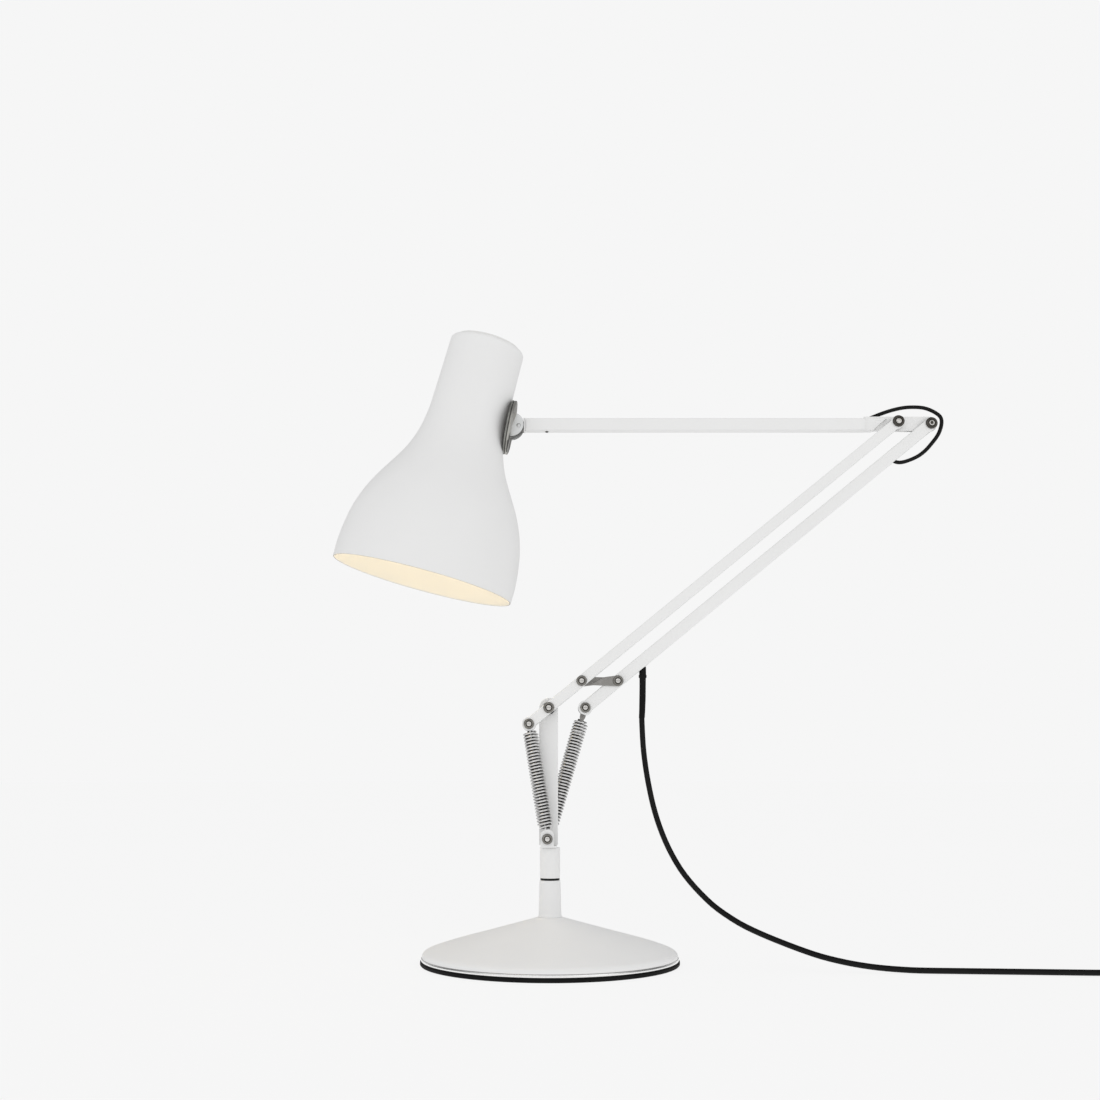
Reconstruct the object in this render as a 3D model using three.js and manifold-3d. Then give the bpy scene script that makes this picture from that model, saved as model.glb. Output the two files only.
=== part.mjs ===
// Spring-balanced desk lamp: conical weighted base, swivelling post, two-bar lower arm,
// square-tube upper arm, hinged and swivelling bell shade, two tension springs, mains lead.
// Units are millimetres, +Z is up, +X points from the post towards the elbow, the front is -Y.
// The origin is the centre of the underside of the rubber base pad.
import * as THREE from 'three';
import { mergeVertices } from 'three/addons/utils/BufferGeometryUtils.js';
import Module from 'manifold-3d';

const wasm = await Module();
wasm.setup();

// ---------------------------------------------------------------- driving dimensions
const GAP = 0.3;                       // clearance between pieces that touch
const BASE_R = 100;                    // base cover radius
const PAD_R = 101.5;                   // rubber pad radius
const COLLAR_TOP = 63.2;               // top of the fixed collar
const SLEEVE = { r: 8.0, z0: 64.9, z1: 88.3 };
const SPINDLE_R = 5.0;
const P = [-1.0, 197.8];               // shoulder pivot (x, z)
const Q = [-2.1, 95.4];                // lower spring anchor (x, z)
const ARM_ANGLE = 39.16 * Math.PI / 180;
const ARM_LEN = 372.5;                 // shoulder to elbow
const U = [Math.cos(ARM_ANGLE), Math.sin(ARM_ANGLE)];
const N = [-U[1], U[0]];
const V = [29.4, 0.4];                 // offset from the front bar to the rear bar
const TAIL_S = -20.3;                  // front spring pivot along the front bar
const LINK_S = 33.9;                   // link pivots along both bars
const at = (o, s, n = 0) => [o[0] + U[0] * s + N[0] * n, o[1] + U[1] * s + N[1] * n];
const T = at(P, TAIL_S);
const LA = at(P, LINK_S);
const EA = at(P, ARM_LEN);
const BL = [P[0] + V[0], P[1] + V[1]];
const LB = [LA[0] + V[0], LA[1] + V[1]];
const EB = [EA[0] + V[0], EA[1] + V[1]];
const BAR_A = { half: 4.25, y0: -12.2, y1: -4.2, wall: 1.2 };
const BAR_B = { half: 4.85, y0: -4.6, y1: 4.6, wall: 1.2 };
const POST = { x0: -8.6, x1: 6.4, top: 206.1, t: 1.6 };
const ARM_Z = 432.6;                   // upper arm centre height
const TUBE = { x0: -20.0, x1: 262.0, h: 5.25, w: 5.0, wall: 1.0 };
const TAIL = { t: 1.5, top: 440.0, bot: 427.4 };
const HP = [-26.2, 431.0];             // head tilt pivot (x, z)
const SHADE_TILT = 14.62 * Math.PI / 180;
const MOUTH = [-104.7, 301.6];         // centre of the shade's mouth (x, z)
const SHADE_L = 207;
const DISC = { h: 143, r: 22.8 };      // knuckle plates, height along the shade and radius
const SPRING = { r: 6.2, wall: 1.4, y: 8.25 };
const LEAD_R = 2.2;
const ELBOW_CABLE_R = 1.6;
const COIL = { x: 446, y: -91, mid: 25, half: 6.7, h: 13.4 };

// ---------------------------------------------------------------- helpers
function manifold(geometry) {
  const g = geometry.index ? geometry.toNonIndexed() : geometry.clone();
  for (const k of Object.keys(g.attributes)) if (k !== 'position') g.deleteAttribute(k);
  const m = mergeVertices(g, 1e-4);
  return new wasm.Manifold(new wasm.Mesh({
    numProp: 3,
    vertProperties: new Float32Array(m.attributes.position.array),
    triVerts: new Uint32Array(m.index.array),
  }));
}
function geometry(body) {
  const mesh = body.getMesh();
  const g = new THREE.BufferGeometry();
  g.setAttribute('position', new THREE.BufferAttribute(new Float32Array(mesh.vertProperties), 3));
  g.setIndex(new THREE.BufferAttribute(new Uint32Array(mesh.triVerts), 1));
  return g;
}
const box = (x0, x1, y0, y1, z0, z1) => {
  const g = new THREE.BoxGeometry(x1 - x0, y1 - y0, z1 - z0);
  g.translate((x0 + x1) / 2, (y0 + y1) / 2, (z0 + z1) / 2);
  return manifold(g);
};
const cylY = (c, r, y0, y1, seg = 16) => {
  const g = new THREE.CylinderGeometry(r, r, y1 - y0, seg);
  g.translate(c[0], (y0 + y1) / 2, c[1]);
  return manifold(g);
};
const cylZ = (x, y, r, z0, z1, seg = 16) => {
  const g = new THREE.CylinderGeometry(r, r, z1 - z0, seg);
  g.rotateX(Math.PI / 2);
  g.translate(x, y, (z0 + z1) / 2);
  return manifold(g);
};
const cylX = (y, z, r, x0, x1, seg = 16) => {
  const g = new THREE.CylinderGeometry(r, r, x1 - x0, seg);
  g.rotateZ(Math.PI / 2);
  g.translate((x0 + x1) / 2, y, z);
  return manifold(g);
};
// closed profile of [radius, height] points turned about Z
const lathe = (profile, seg = 64) => {
  let area = 0;
  profile.forEach(([r, z], i) => {
    const [r2, z2] = profile[(i + 1) % profile.length];
    area += r * z2 - r2 * z;
  });
  const pts = area < 0 ? [...profile].reverse() : profile;
  const g = new THREE.LatheGeometry(pts.map(([r, z]) => new THREE.Vector2(r, z)), seg);
  g.rotateX(Math.PI / 2);
  return manifold(g);
};
// outline in (x, z) extruded from y0 to y1
const plate = (pts, y0, y1, holes = []) => {
  const s = new THREE.Shape(pts.map(([x, z]) => new THREE.Vector2(x, z)));
  for (const h of holes) {
    const p = new THREE.Path();
    p.absarc(h[0], h[1], h[2], 0, Math.PI * 2, false);
    s.holes.push(p);
  }
  const g = new THREE.ExtrudeGeometry(s, { depth: y1 - y0, bevelEnabled: false, curveSegments: 6 });
  g.rotateX(Math.PI / 2);
  g.translate(0, y1, 0);
  return manifold(g);
};
// box laid along the lower arm: s along, n across, measured from point o
const slab = (o, s0, s1, n0, n1, y0, y1) =>
  plate([at(o, s0, n0), at(o, s1, n0), at(o, s1, n1), at(o, s0, n1)], y0, y1);
// a turned fastener along Y: list of [radius, y0, y1] steps joined into one body
const turned = (c, steps, seg = 12) =>
  steps.map(([r, y0, y1]) => cylY(c, r, y0, y1, seg)).reduce((a, b) => a.add(b));
const tube = (points, r, steps, sides = 8, close = 0.5) => {
  const curve = new THREE.CatmullRomCurve3(points.map(p => new THREE.Vector3(...p)), false, 'centripetal', close);
  curve.arcLengthDivisions = 600;
  const ring = new THREE.Shape();
  for (let i = 0; i <= sides; i++) {
    const a = (i / sides) * Math.PI * 2;
    const x = r * Math.cos(a), y = r * Math.sin(a);
    i ? ring.lineTo(x, y) : ring.moveTo(x, y);
  }
  const g = new THREE.ExtrudeGeometry(ring, { steps, extrudePath: curve, bevelEnabled: false });
  return manifold(g);
};

// ---------------------------------------------------------------- materials
const mat = (color, roughness, metalness) => new THREE.MeshStandardMaterial({ color, roughness, metalness });
const WHITE = () => mat(0xe9e9e7, 0.38, 0.0);
const STEEL = () => mat(0xb9b6b2, 0.3, 1.0);
const DARK = () => mat(0x3c3b3a, 0.4, 0.9);
const BLACK = () => mat(0x1b1b1a, 0.7, 0.0);
const IRON = () => mat(0x4a4a4c, 0.6, 0.8);

const lamp = new THREE.Group();
const add = (name, body, material, parent = lamp) => {
  const m = new THREE.Mesh(body instanceof THREE.BufferGeometry ? body : geometry(body), material);
  m.name = name;
  parent.add(m);
  return m;
};

// ---------------------------------------------------------------- base
add('base_pad', lathe([[0, 0], [PAD_R - 0.5, 0], [PAD_R, 0.6], [PAD_R, 2.5], [PAD_R - 0.6, 3.0], [0, 3.0]], 32), BLACK());
add('base_trim_ring', lathe([[95.2, 3.3], [BASE_R, 3.3], [BASE_R + 0.2, 4.4], [BASE_R, 5.6], [95.2, 5.6], [95.2, 3.3]], 32), STEEL());
const coverOut = [[99.6, 5.9], [99.4, 7.6], [97.6, 9.8], [90, 12.6], [50, 23.9], [13, 34.2], [9.6, 35.2]];
const coverIn = [[5.4, 35.2], [5.4, 33.8], [13, 32.8], [50, 22.5], [90, 11.2], [97.2, 8.0], [97.6, 5.9], [99.6, 5.9]];
add('base_cover', lathe([...coverOut, ...coverIn], 32), WHITE());
add('base_weight', lathe([[5.4, 9.2], [5.4, 20.5], [14, 20.5], [16, 12.0], [86, 10.0], [88.5, 9.0], [88.5, 3.4], [11.5, 3.4], [11.5, 9.2], [5.4, 9.2]], 18), IRON());
add('spindle', lathe([[0, 3.6], [10.6, 3.6], [10.6, 8.8], [5.0, 8.8], [5.0, 78.6], [4.4, 79.4], [0, 79.4]], 16), STEEL());
add('spindle_nut', cylZ(0, 0, 9.4, 20.9, 26.4, 6).subtract(cylZ(0, 0, SPINDLE_R + 0.35, 20, 27)), DARK());
add('base_collar', lathe([[5.4, 35.5], [9.0, 35.5], [8.75, 38], [8.35, 61.8], [7.9, COLLAR_TOP], [5.4, COLLAR_TOP], [5.4, 35.5]], 20), WHITE());

// ---------------------------------------------------------------- swivelling column
add('swivel_washer', lathe([[5.3, 63.5], [7.5, 63.5], [7.5, 64.6], [5.3, 64.6], [5.3, 63.5]], 20), BLACK());
const sleeve = cylZ(0, 0, SLEEVE.r, SLEEVE.z0, SLEEVE.z1, 20)
  .subtract(cylZ(0, 0, SPINDLE_R + 0.3, SLEEVE.z0 - 1, 79.8, 16))
  .subtract(box(-4.9, 2.7, -1.9, 1.9, 81.5, 90));
add('stem_sleeve', sleeve, WHITE());
// the post: a flat bar with a rounded head and a tang that enters the sleeve
const px = (POST.x0 + POST.x1) / 2, pr = (POST.x1 - POST.x0) / 2;
const postPts = [[-4.6, 82], [2.4, 82], [2.4, 90.3], [POST.x1, 90.3]];
for (let i = 0; i <= 14; i++) {
  const a = (i / 14) * Math.PI;
  postPts.push([px + pr * Math.cos(a), 198.2 + (POST.top - 198.2) * Math.sin(a)]);
}
postPts.push([POST.x0, 90.3], [-4.6, 90.3]);
add('post', plate(postPts, -POST.t, POST.t, [[Q[0], Q[1], 2.3], [P[0], P[1], 2.9]]), WHITE());
// spring bracket: base plate on the sleeve, one ear in front and one behind
const ear = (y0, y1) => {
  const pts = [[-7.4, 88.6], [3.0, 88.6]];
  for (let i = 0; i <= 10; i++) { const a = (i / 10) * Math.PI; pts.push([-2.2 + 5.2 * Math.cos(a), 98.2 + 4.6 * Math.sin(a)]); }
  return plate(pts, y0, y1);
};
const bracket = box(-7.4, 5.4, -11.6, 11.6, 88.6, 90.0)
  .subtract(box(-4.9, 2.7, -1.9, 1.9, 80, 91))
  .add(ear(-11.6, -10.4)).add(ear(10.4, 11.6))
  .subtract(cylY(Q, 2.3, -13, 13));
add('spring_bracket', bracket, WHITE());
add('anchor_pin', turned(Q, [[4.1, -13.6, -11.9], [2.0, -12, 15.6]]), DARK());
add('anchor_pin_nut', cylY(Q, 3.9, 11.9, 14.6, 6).subtract(cylY(Q, 2.3, 11, 16)), DARK());
add('shoulder_bolt', turned(P, [[4.3, -14.0, -12.5], [2.6, -12.6, 5.4]]), DARK());
add('shoulder_nut', cylY(P, 4.6, 1.9, 5.2, 6).subtract(cylY(P, 2.9, 1, 6)), DARK());
add('shoulder_spacer', cylY(P, 5.0, -3.9, -1.9).subtract(cylY(P, 2.9, -5, -1)), BLACK());

// ---------------------------------------------------------------- lower arm, front bar
const A = BAR_A;
const barA = slab(P, TAIL_S, ARM_LEN, -A.half, A.half, A.y0, A.y1)
  .add(cylY(T, 5.5, A.y0, A.y1, 20)).add(cylY(EA, 5.2, A.y0, A.y1, 20))
  .subtract(slab(P, TAIL_S - 20, ARM_LEN + 20, -A.half + A.wall, A.half - A.wall, A.y0 + A.wall, A.y1 - A.wall))
  .subtract(slab(P, TAIL_S - 20, TAIL_S + 6.5, -12, 0, A.y0 + A.wall, A.y1 - A.wall))
  .subtract(cylY(P, 2.9, -15, 0)).subtract(cylY(EA, 2.9, -15, 0))
  .subtract(cylY(T, 2.3, -15, 0)).subtract(cylY(LA, 2.3, -15, 0));
add('front_bar', barA, WHITE());
add('front_spring_rivet', turned(T, [[4.1, -13.9, -12.5], [2.0, -12.6, -3.4], [3.0, -3.9, -2.9]]), DARK());
add('front_link_rivet', turned(LA, [[4.2, -13.9, -12.5], [2.0, -12.6, 2.2], [3.2, 1.6, 2.8]]), DARK());
add('front_link_spacer', cylY(LA, 3.6, -3.9, -1.7).subtract(cylY(LA, 2.3, -5, 0)), BLACK());
add('front_elbow_bolt', turned(EA, [[4.8, -14.2, -12.5], [2.6, -12.6, 5.4]]), DARK());
add('front_elbow_nut', cylY(EA, 4.6, 1.9, 5.2, 6).subtract(cylY(EA, 2.9, 1, 6)), DARK());
add('front_elbow_spacer', cylY(EA, 5.0, -3.9, -1.9).subtract(cylY(EA, 2.9, -5, -1)), BLACK());

// ---------------------------------------------------------------- parallel link
const vl = Math.hypot(V[0], V[1]), vd = [V[0] / vl, V[1] / vl], vn = [-vd[1], vd[0]];
const lp = (a, n) => [LA[0] + vd[0] * a + vn[0] * n, LA[1] + vd[1] * a + vn[1] * n];
const linkPts = [];
for (let i = 0; i <= 8; i++) { const a = -Math.PI / 2 + (i / 8) * Math.PI; linkPts.push(lp(vl + 3.5 * Math.cos(a), 3.5 * Math.sin(a))); }
linkPts.push(lp(vl / 2, 3.1));
for (let i = 0; i <= 8; i++) { const a = Math.PI / 2 + (i / 8) * Math.PI; linkPts.push(lp(3.9 * Math.cos(a), 3.9 * Math.sin(a))); }
linkPts.push(lp(vl / 2, -3.1));
add('parallel_link', plate(linkPts, -1.3, 1.3, [[LA[0], LA[1], 2.3], [LB[0], LB[1], 2.6]]), STEEL());

// ---------------------------------------------------------------- lower arm, rear bar
const B = BAR_B, BIN = B.half - B.wall;
const leadHole = at(BL, 55.4, -B.half);
const barB = slab(BL, 0, ARM_LEN, -B.half, B.half, B.y0, B.y1)
  .add(cylY(BL, 5.8, B.y0, B.y1, 20)).add(cylY(EB, 5.2, B.y0, B.y1, 20))
  .subtract(slab(BL, -1, ARM_LEN + 20, -BIN, BIN, B.y0 + B.wall, B.y1 - B.wall))
  .subtract(slab(BL, LINK_S - 28, LINK_S + 6, 0, 12, -1.8, 1.8))
  .subtract(slab(BL, ARM_LEN - 34, ARM_LEN + 20, 0, 12, -2.1, 2.1))
  .subtract(slab(BL, ARM_LEN - 9, ARM_LEN + 20, -12, 12, B.y0 + B.wall, B.y1 - B.wall))
  .subtract(cylZ(leadHole[0] + 0.5, 0, 3.1, leadHole[1] - 6, leadHole[1] + 3.5, 14))
  .subtract(slab(BL, 322, 331, -12, 0, -2.1, 2.1))
  .subtract(cylY(BL, 2.3, -8, 8)).subtract(cylY(LB, 2.3, -8, 8)).subtract(cylY(EB, 2.9, -8, 8));
add('rear_bar', barB, WHITE());
add('rear_spring_bolt', turned(BL, [[4.1, -6.3, -4.9], [2.0, -5, 11.4]]), DARK());
add('rear_spring_nut', cylY(BL, 3.8, 9.2, 11.2, 6).subtract(cylY(BL, 2.3, 9, 12)), DARK());
add('rear_link_rivet', turned(LB, [[4.2, -6.3, -4.9], [2.0, -5, 5.4], [3.2, 4.9, 5.9]]), DARK());
add('rear_elbow_bolt', turned(EB, [[4.8, -6.6, -4.9], [2.6, -5, 8.0]]), DARK());
add('rear_elbow_nut', cylY(EB, 4.6, 4.9, 7.8, 6).subtract(cylY(EB, 2.9, 4, 9)), DARK());

// ---------------------------------------------------------------- upper arm
const tubeBody = box(TUBE.x0, TUBE.x1, -TUBE.w, TUBE.w, ARM_Z - TUBE.h, ARM_Z + TUBE.h)
  .subtract(box(TUBE.x0 - 2, TUBE.x1 + 2, -TUBE.w + TUBE.wall, TUBE.w - TUBE.wall, ARM_Z - TUBE.h + TUBE.wall, ARM_Z + TUBE.h - TUBE.wall))
  .subtract(box(244, 264, 1.7, 6, ARM_Z - 1, ARM_Z + 8))
  .subtract(cylZ(-2.6, 0, 1.5, ARM_Z - 8, ARM_Z - 2, 12));
add('upper_arm_tube', tubeBody, WHITE());
const tailPts = [[236, ARM_Z - 3.9], [262.4, ARM_Z - 3.9], [262.4, TAIL.bot], [EB[0] - 1, TAIL.bot - 0.2]];
for (let i = 0; i <= 10; i++) { const a = -Math.PI / 2 + (i / 10) * Math.PI; tailPts.push([EB[0] + 5.6 * Math.cos(a), EB[1] + (i < 5 ? 6.0 : 6.4) * Math.sin(a)]); }
tailPts.push([262.4, TAIL.top], [262.4, ARM_Z + 3.9], [236, ARM_Z + 3.9]);
add('arm_tail_plate', plate(tailPts, -TAIL.t, TAIL.t, [[EA[0], EA[1], 2.9], [EB[0], EB[1], 2.9]]), WHITE());
// end plug with the hinge tongue
const plug = box(-22.0, -20.3, -5.1, 5.1, ARM_Z - 5.35, ARM_Z + 5.35)
  .add(box(-20.4, -7.5, -3.7, 3.7, ARM_Z - 3.95, ARM_Z + 3.95))
  .add(plate([[-26.2, 427.4], [-21.5, 427.4], [-21.5, 434.6], [-26.2, 434.6]], -4.8, 4.8))
  .add(cylY(HP, 3.6, -4.8, 4.8, 28))
  .subtract(cylY(HP, 1.8, -8, 8)).subtract(cylZ(-2.6, 0, 1.2, ARM_Z - 8, ARM_Z, 12));
add('arm_end_plug', plug, WHITE());
add('plug_grub_screw', cylZ(-2.6, 0, 1.2, ARM_Z - 6.0, ARM_Z - 4.25, 16), DARK());
add('upper_arm_cable', cylX(0, ARM_Z, 1.6, -6, 234, 10), BLACK());

// ---------------------------------------------------------------- knuckle and shade
// local frame of the head: origin at the mouth centre, +Z along the shade's axis
const head = new THREE.Group();
head.position.set(MOUTH[0], 0, MOUTH[1]);
head.rotation.y = SHADE_TILT;
lamp.add(head);
const local = ([x, z]) => {
  const dx = x - MOUTH[0], dz = z - MOUTH[1], c = Math.cos(SHADE_TILT), s = Math.sin(SHADE_TILT);
  return [dx * c - dz * s, dx * s + dz * c];
};
const shadeOut = [[74.9, 0], [75.2, 12], [74.0, 27], [70.8, 46], [65.2, 62], [57.7, 77], [48.8, 92], [41.0, 107], [36.0, 122], [33.5, 137], [32.6, 152], [31.6, 196], [30.8, 205.8], [29.0, SHADE_L]];
const t = 1.0;
const shadeIn = [[22.0, SHADE_L], [22.0, SHADE_L - t], [29.8, SHADE_L - t - 0.6], [30.6, 196], [31.6, 152], [32.5, 137], [35.0, 122], [40.0, 107], [47.8, 92], [56.7, 77], [64.2, 62], [69.8, 46], [73.0, 27], [74.2, 12], [73.9, 0], [74.9, 0]];
// the knuckle plates lie along the flaring neck, so their axis leans a little off the shade's own cross axis
const lean = (m) => m.translate([-36, 0, -DISC.h]).rotate([0, -3.6, 0]).translate([36, 0, DISC.h]);
const shade = lathe([...shadeOut, ...shadeIn], 32).subtract(lean(cylX(0, DISC.h, 3.3, 20, 40, 16)));
add('shade', shade, WHITE(), head);
const shadeClear = lathe([[0, -1], [75.6, -1], [75.6, 12], [75.0, 22], [73.8, 32], [72.1, 42], [69.3, 52], [65.6, 62], [60.9, 72], [55.2, 82], [49.2, 92], [43.7, 102], [39.5, 112], [36.4, 122], [34.6, 132], [33.4, 142], [33.0, 152], [32.5, 172], [32, 206], [0, 206]], 32);
const neckPlate = lean(cylX(0, DISC.h, DISC.r, 34.4, 36.0, 24).subtract(cylX(0, DISC.h, 3.3, 20, 40, 16))).subtract(shadeClear);
add('neck_plate', neckPlate, DARK(), head);
// knuckle bracket: outer plate with two D-shaped cheeks either side of the arm's tongue
const [hx, hz] = local(HP);
const D0 = local([-32.2, 432.0]);
const cheek = (y0, y1) => cylY(D0, 10.3, y0, y1, 24).intersect(box(37.3, 60, -20, 20, 120, 165));
const knuckle = lean(cylX(0, DISC.h, DISC.r, 36.4, 38.4, 24))
  .add(cheek(5.4, 7.0)).add(cheek(-7.0, -5.4))
  .subtract(lean(cylX(0, DISC.h, 3.3, 20, 45, 16)))
  .subtract(cylY([hx, hz], 2.1, -9, 9));
add('knuckle_bracket', knuckle, DARK(), head);
add('swivel_stud', lean(cylX(0, DISC.h, 3.0, 27.8, 38.8, 12)), STEEL(), head);
add('swivel_nut', lean(cylX(0, DISC.h, 5.6, 28.1, 31.0, 6).subtract(cylX(0, DISC.h, 3.3, 20, 45, 16))), DARK(), head);
add('knuckle_pin', turned([hx, hz], [[1.5, -6.9, 6.9]]), STEEL(), head);
add('shade_cap', lathe([[5.3, 207.4], [27.6, 207.4], [27.6, 208.2], [26.6, 209.4], [7.0, 209.4], [7.0, 211.4], [5.3, 211.4], [5.3, 207.4]], 20), WHITE(), head);
add('switch_button', lathe([[0, 209.6], [4.9, 209.6], [4.9, 213.6], [4.2, 214.6], [0, 214.9]], 16), BLACK(), head);
add('lampholder', lathe([[0, 207.1], [17.0, 207.1], [17.0, 204], [17.6, 203], [18.0, 160], [18.0, 157.5], [20.6, 157.5], [20.6, 152], [18.0, 152], [18.0, 150.2], [14.6, 150.2], [14.2, 178], [0, 178]], 16), mat(0xe8e4da, 0.5, 0), head);
add('bulb', lathe([[0, 68.0], [9, 69.2], [18, 73.2], [25, 79.8], [29, 88.5], [30, 98], [28.6, 108], [24.4, 118], [19.2, 127.5], [15.6, 137], [13.6, 147], [13.0, 152], [12.6, 175.6], [6, 177.4], [0, 177.4]], 14), mat(0xfff2d8, 0.3, 0), head);

// ---------------------------------------------------------------- springs
const springAxis = (from, to) => {
  const dx = to[0] - from[0], dz = to[1] - from[1], l = Math.hypot(dx, dz);
  return { l, rot: Math.atan2(dx, dz) };
};
function onAxis(from, to, y) {
  const g = new THREE.Group();
  const a = springAxis(from, to);
  g.position.set(from[0], y, from[1]);
  g.rotation.y = a.rot;
  lamp.add(g);
  return [g, a.l];
}
const coilBody = (z0, z1) => lathe([[SPRING.r - SPRING.wall, z0], [SPRING.r - 0.4, z0], [SPRING.r, z0 + 1], [SPRING.r, z1 - 1], [SPRING.r - 0.4, z1], [SPRING.r - SPRING.wall, z1], [SPRING.r - SPRING.wall, z0]], 14);
// a flat hook: ring round the pin and a stem that reaches into the coil end, in the spring's local frame
const hook = (zPin, dir, reach, r = 3.9, y0 = -0.8, y1 = 0.8, w = 2.6) => {
  const z = zPin + dir * reach;
  return cylY([0, zPin], r, y0, y1, 24).add(box(-w / 2, w / 2, y0, y1, Math.min(zPin, z), Math.max(zPin, z))).subtract(cylY([0, zPin], 2.3, -3, 3));
};
const [front, frontL] = onAxis(Q, T, -SPRING.y);
add('front_spring', coilBody(8.2, frontL - 6.9), STEEL(), front);
add('front_spring_foot', hook(0, 1, 12), STEEL(), front);
add('front_spring_hanger', hook(frontL, -1, 13, 2.95, -0.8, 0.8, 2.2), STEEL(), front);
const [rear, rearL] = onAxis(Q, BL, SPRING.y);
add('rear_spring', coilBody(8.2, rearL - 10.6), STEEL(), rear);
add('rear_spring_foot', hook(0, 1, 12), STEEL(), rear);
add('rear_spring_hanger', hook(rearL, -1, 15, 4.4, -1.0, 0.7, 4.6), DARK(), rear);
add('rear_spring_top_hook', cylZ(0, 0, SPRING.r - SPRING.wall - 0.3, rearL - 23, rearL - 19.6, 14).subtract(cylZ(0, 0, 3.4, rearL - 24, rearL - 19, 14)), STEEL(), rear);

// ---------------------------------------------------------------- cables
// loop that carries the lamp cable round the elbow from the upper arm into the rear bar
const elbowPath = [[250, 3.4, 434.4], [256, 3.6, 435.4], [262.2, 3.8, 437.2], [270.8, 3.9, 440.9], [280.2, 3.9, 444.6], [289.5, 3.6, 447.4], [298.8, 3.4, 449.1], [308.8, 2.9, 449.1], [315.4, 2.6, 447.9], [321.8, 2.2, 444.9], [326.6, 1.9, 440.9], [327.6, 1.5, 436.3], [326.2, 1.3, 430.0], [323.2, 1.1, 423.9], [317.8, 0.9, 417.0], [312.4, 0.7, 411.2], [306.2, 0.5, 406.5], [298.5, 0.3, 402.9], [291.6, 0.1, 401.0], [286.2, 0, 401.2]];
add('elbow_cable', tube(elbowPath, ELBOW_CABLE_R, 28, 8), BLACK());
// lamp cable inside the rear bar
const cs = at(BL, 62, 0), ce = at(BL, 318, 0);
const mid = [(cs[0] + ce[0]) / 2, (cs[1] + ce[1]) / 2];
const rbc = new THREE.CylinderGeometry(1.6, 1.6, 256, 10);
rbc.rotateZ(Math.PI / 2);
rbc.rotateY(-ARM_ANGLE);
rbc.translate(mid[0], 0, mid[1]);
add('rear_bar_cable', manifold(rbc), BLACK());
// tapered strain relief below the exit hole, then the mains lead to the table
const leadPath = [[74.4, 0.0, 224.0], [74.1, -0.2, 216.5], [73.8, -0.5, 210.1], [73.6, -1.0, 194.9], [73.9, -1.6, 182.1], [74.6, -2.4, 166.2], [76.3, -3.4, 150.4], [78.8, -4.6, 134.8], [82.2, -6.0, 118.8], [86.7, -7.8, 103.8], [93.0, -10.0, 88.3], [101.2, -13.0, 73.4], [110.2, -16.0, 61.5], [121.4, -19.5, 49.8], [130.7, -22.2, 42.1], [145.4, -26.0, 32.8], [159.9, -29.5, 26.0], [174.4, -33.0, 20.3], [188.7, -37.0, 15.2], [202.8, -41.0, 10.8], [216.9, -44.5, 7.6], [231.1, -47.5, 5.2], [245.3, -50.0, 3.6], [259.6, -52.2, 2.7], [273.8, -54.5, 2.3], [302.5, -57.5, 2.3], [331.1, -60.0, 2.3], [359.7, -62.5, 2.3], [388.0, -65.0, 2.3], [405, -66, 2.3], [420.0, -66, 2.3]];
add('strain_relief', lathe([[0, 190.2], [2.4, 190.2], [2.6, 222.0], [3.3, 222.4], [3.3, 224.6], [2.8, 224.9], [2.8, 231.4], [0, 231.4]], 20), BLACK())
  .position.set(leadHole[0] + 0.5, 0, 0);
add('mains_lead', tube(leadPath.slice(3).map((p, i) => i === 0 ? [73.75, -1.05, 189.9] : p), LEAD_R, 46, 8), BLACK());
add('lead_coil', lathe([[COIL.mid - COIL.half, 0.1], [COIL.mid + COIL.half, 0.1], [COIL.mid + COIL.half, COIL.h], [COIL.mid - COIL.half, COIL.h], [COIL.mid - COIL.half, 0.1]], 28), BLACK())
  .position.set(COIL.x, COIL.y, 0);
// tie round the bundle on the far side of the coil
const tie = box(COIL.x - 2.2, COIL.x + 2.2, COIL.y - COIL.mid - COIL.half - 1.3, COIL.y - COIL.mid + COIL.half + 1.3, 0.02, COIL.h + 1.5)
  .subtract(box(COIL.x - 4, COIL.x + 4, COIL.y - COIL.mid - COIL.half - 0.3, COIL.y - COIL.mid + COIL.half + 0.3, -1, COIL.h + 0.3));
add('coil_tie', tie, BLACK());
// flat two-pin plug lying beside the coil, pins towards -Y, with a tapered tail towards the coil
const PLUG = { x: COIL.x + 42.2, y: COIL.y - 9, z: 0.1 };
const plugPts = [[-7.2, 0], [7.2, 0], [9.4, -10], [9.4, -26], [7.0, -36], [-7.0, -36], [-9.4, -26], [-9.4, -10]];
const plugShape = new THREE.Shape(plugPts.map(([x, y]) => new THREE.Vector2(x, y)));
const plugBody = manifold(new THREE.ExtrudeGeometry(plugShape, { depth: 12, bevelEnabled: false }));
const alongY = (x, r0, r1, y0, y1, seg) => {
  const g = new THREE.CylinderGeometry(r1, r0, y1 - y0, seg);
  g.translate(x, (y0 + y1) / 2, 6);
  return manifold(g);
};
add('mains_plug', plugBody.add(alongY(0, 5.0, 3.2, -0.5, 16, 20)).add(alongY(-6.4, 2.0, 2.0, -54.5, -35.5, 14)).add(alongY(6.4, 2.0, 2.0, -54.5, -35.5, 14)), BLACK())
  .position.set(PLUG.x, PLUG.y, PLUG.z);

// the lead's last stretch, from the top of the coil down into the plug's tail
const tailTube = [[464.4, -61.8, 10.7], [471, -62.4, 10.2], [477.2, -64.6, 9.4], [481.8, -68.2, 8.5], [485.4, -72.8, 7.6], [487.5, -77.6, 6.8], [488.2, -83.6, 6.1]];
add('lead_tail', tube(tailTube, LEAD_R, 12, 8), BLACK());

export default lamp;
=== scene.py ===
"""White spring-balanced desk lamp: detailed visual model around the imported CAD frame.

All shapes are made in millimetres in the row frame (+Z up, +X towards the elbow, front is -Y)
and scaled to metres once, when a piece is placed.
"""
import math

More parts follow.
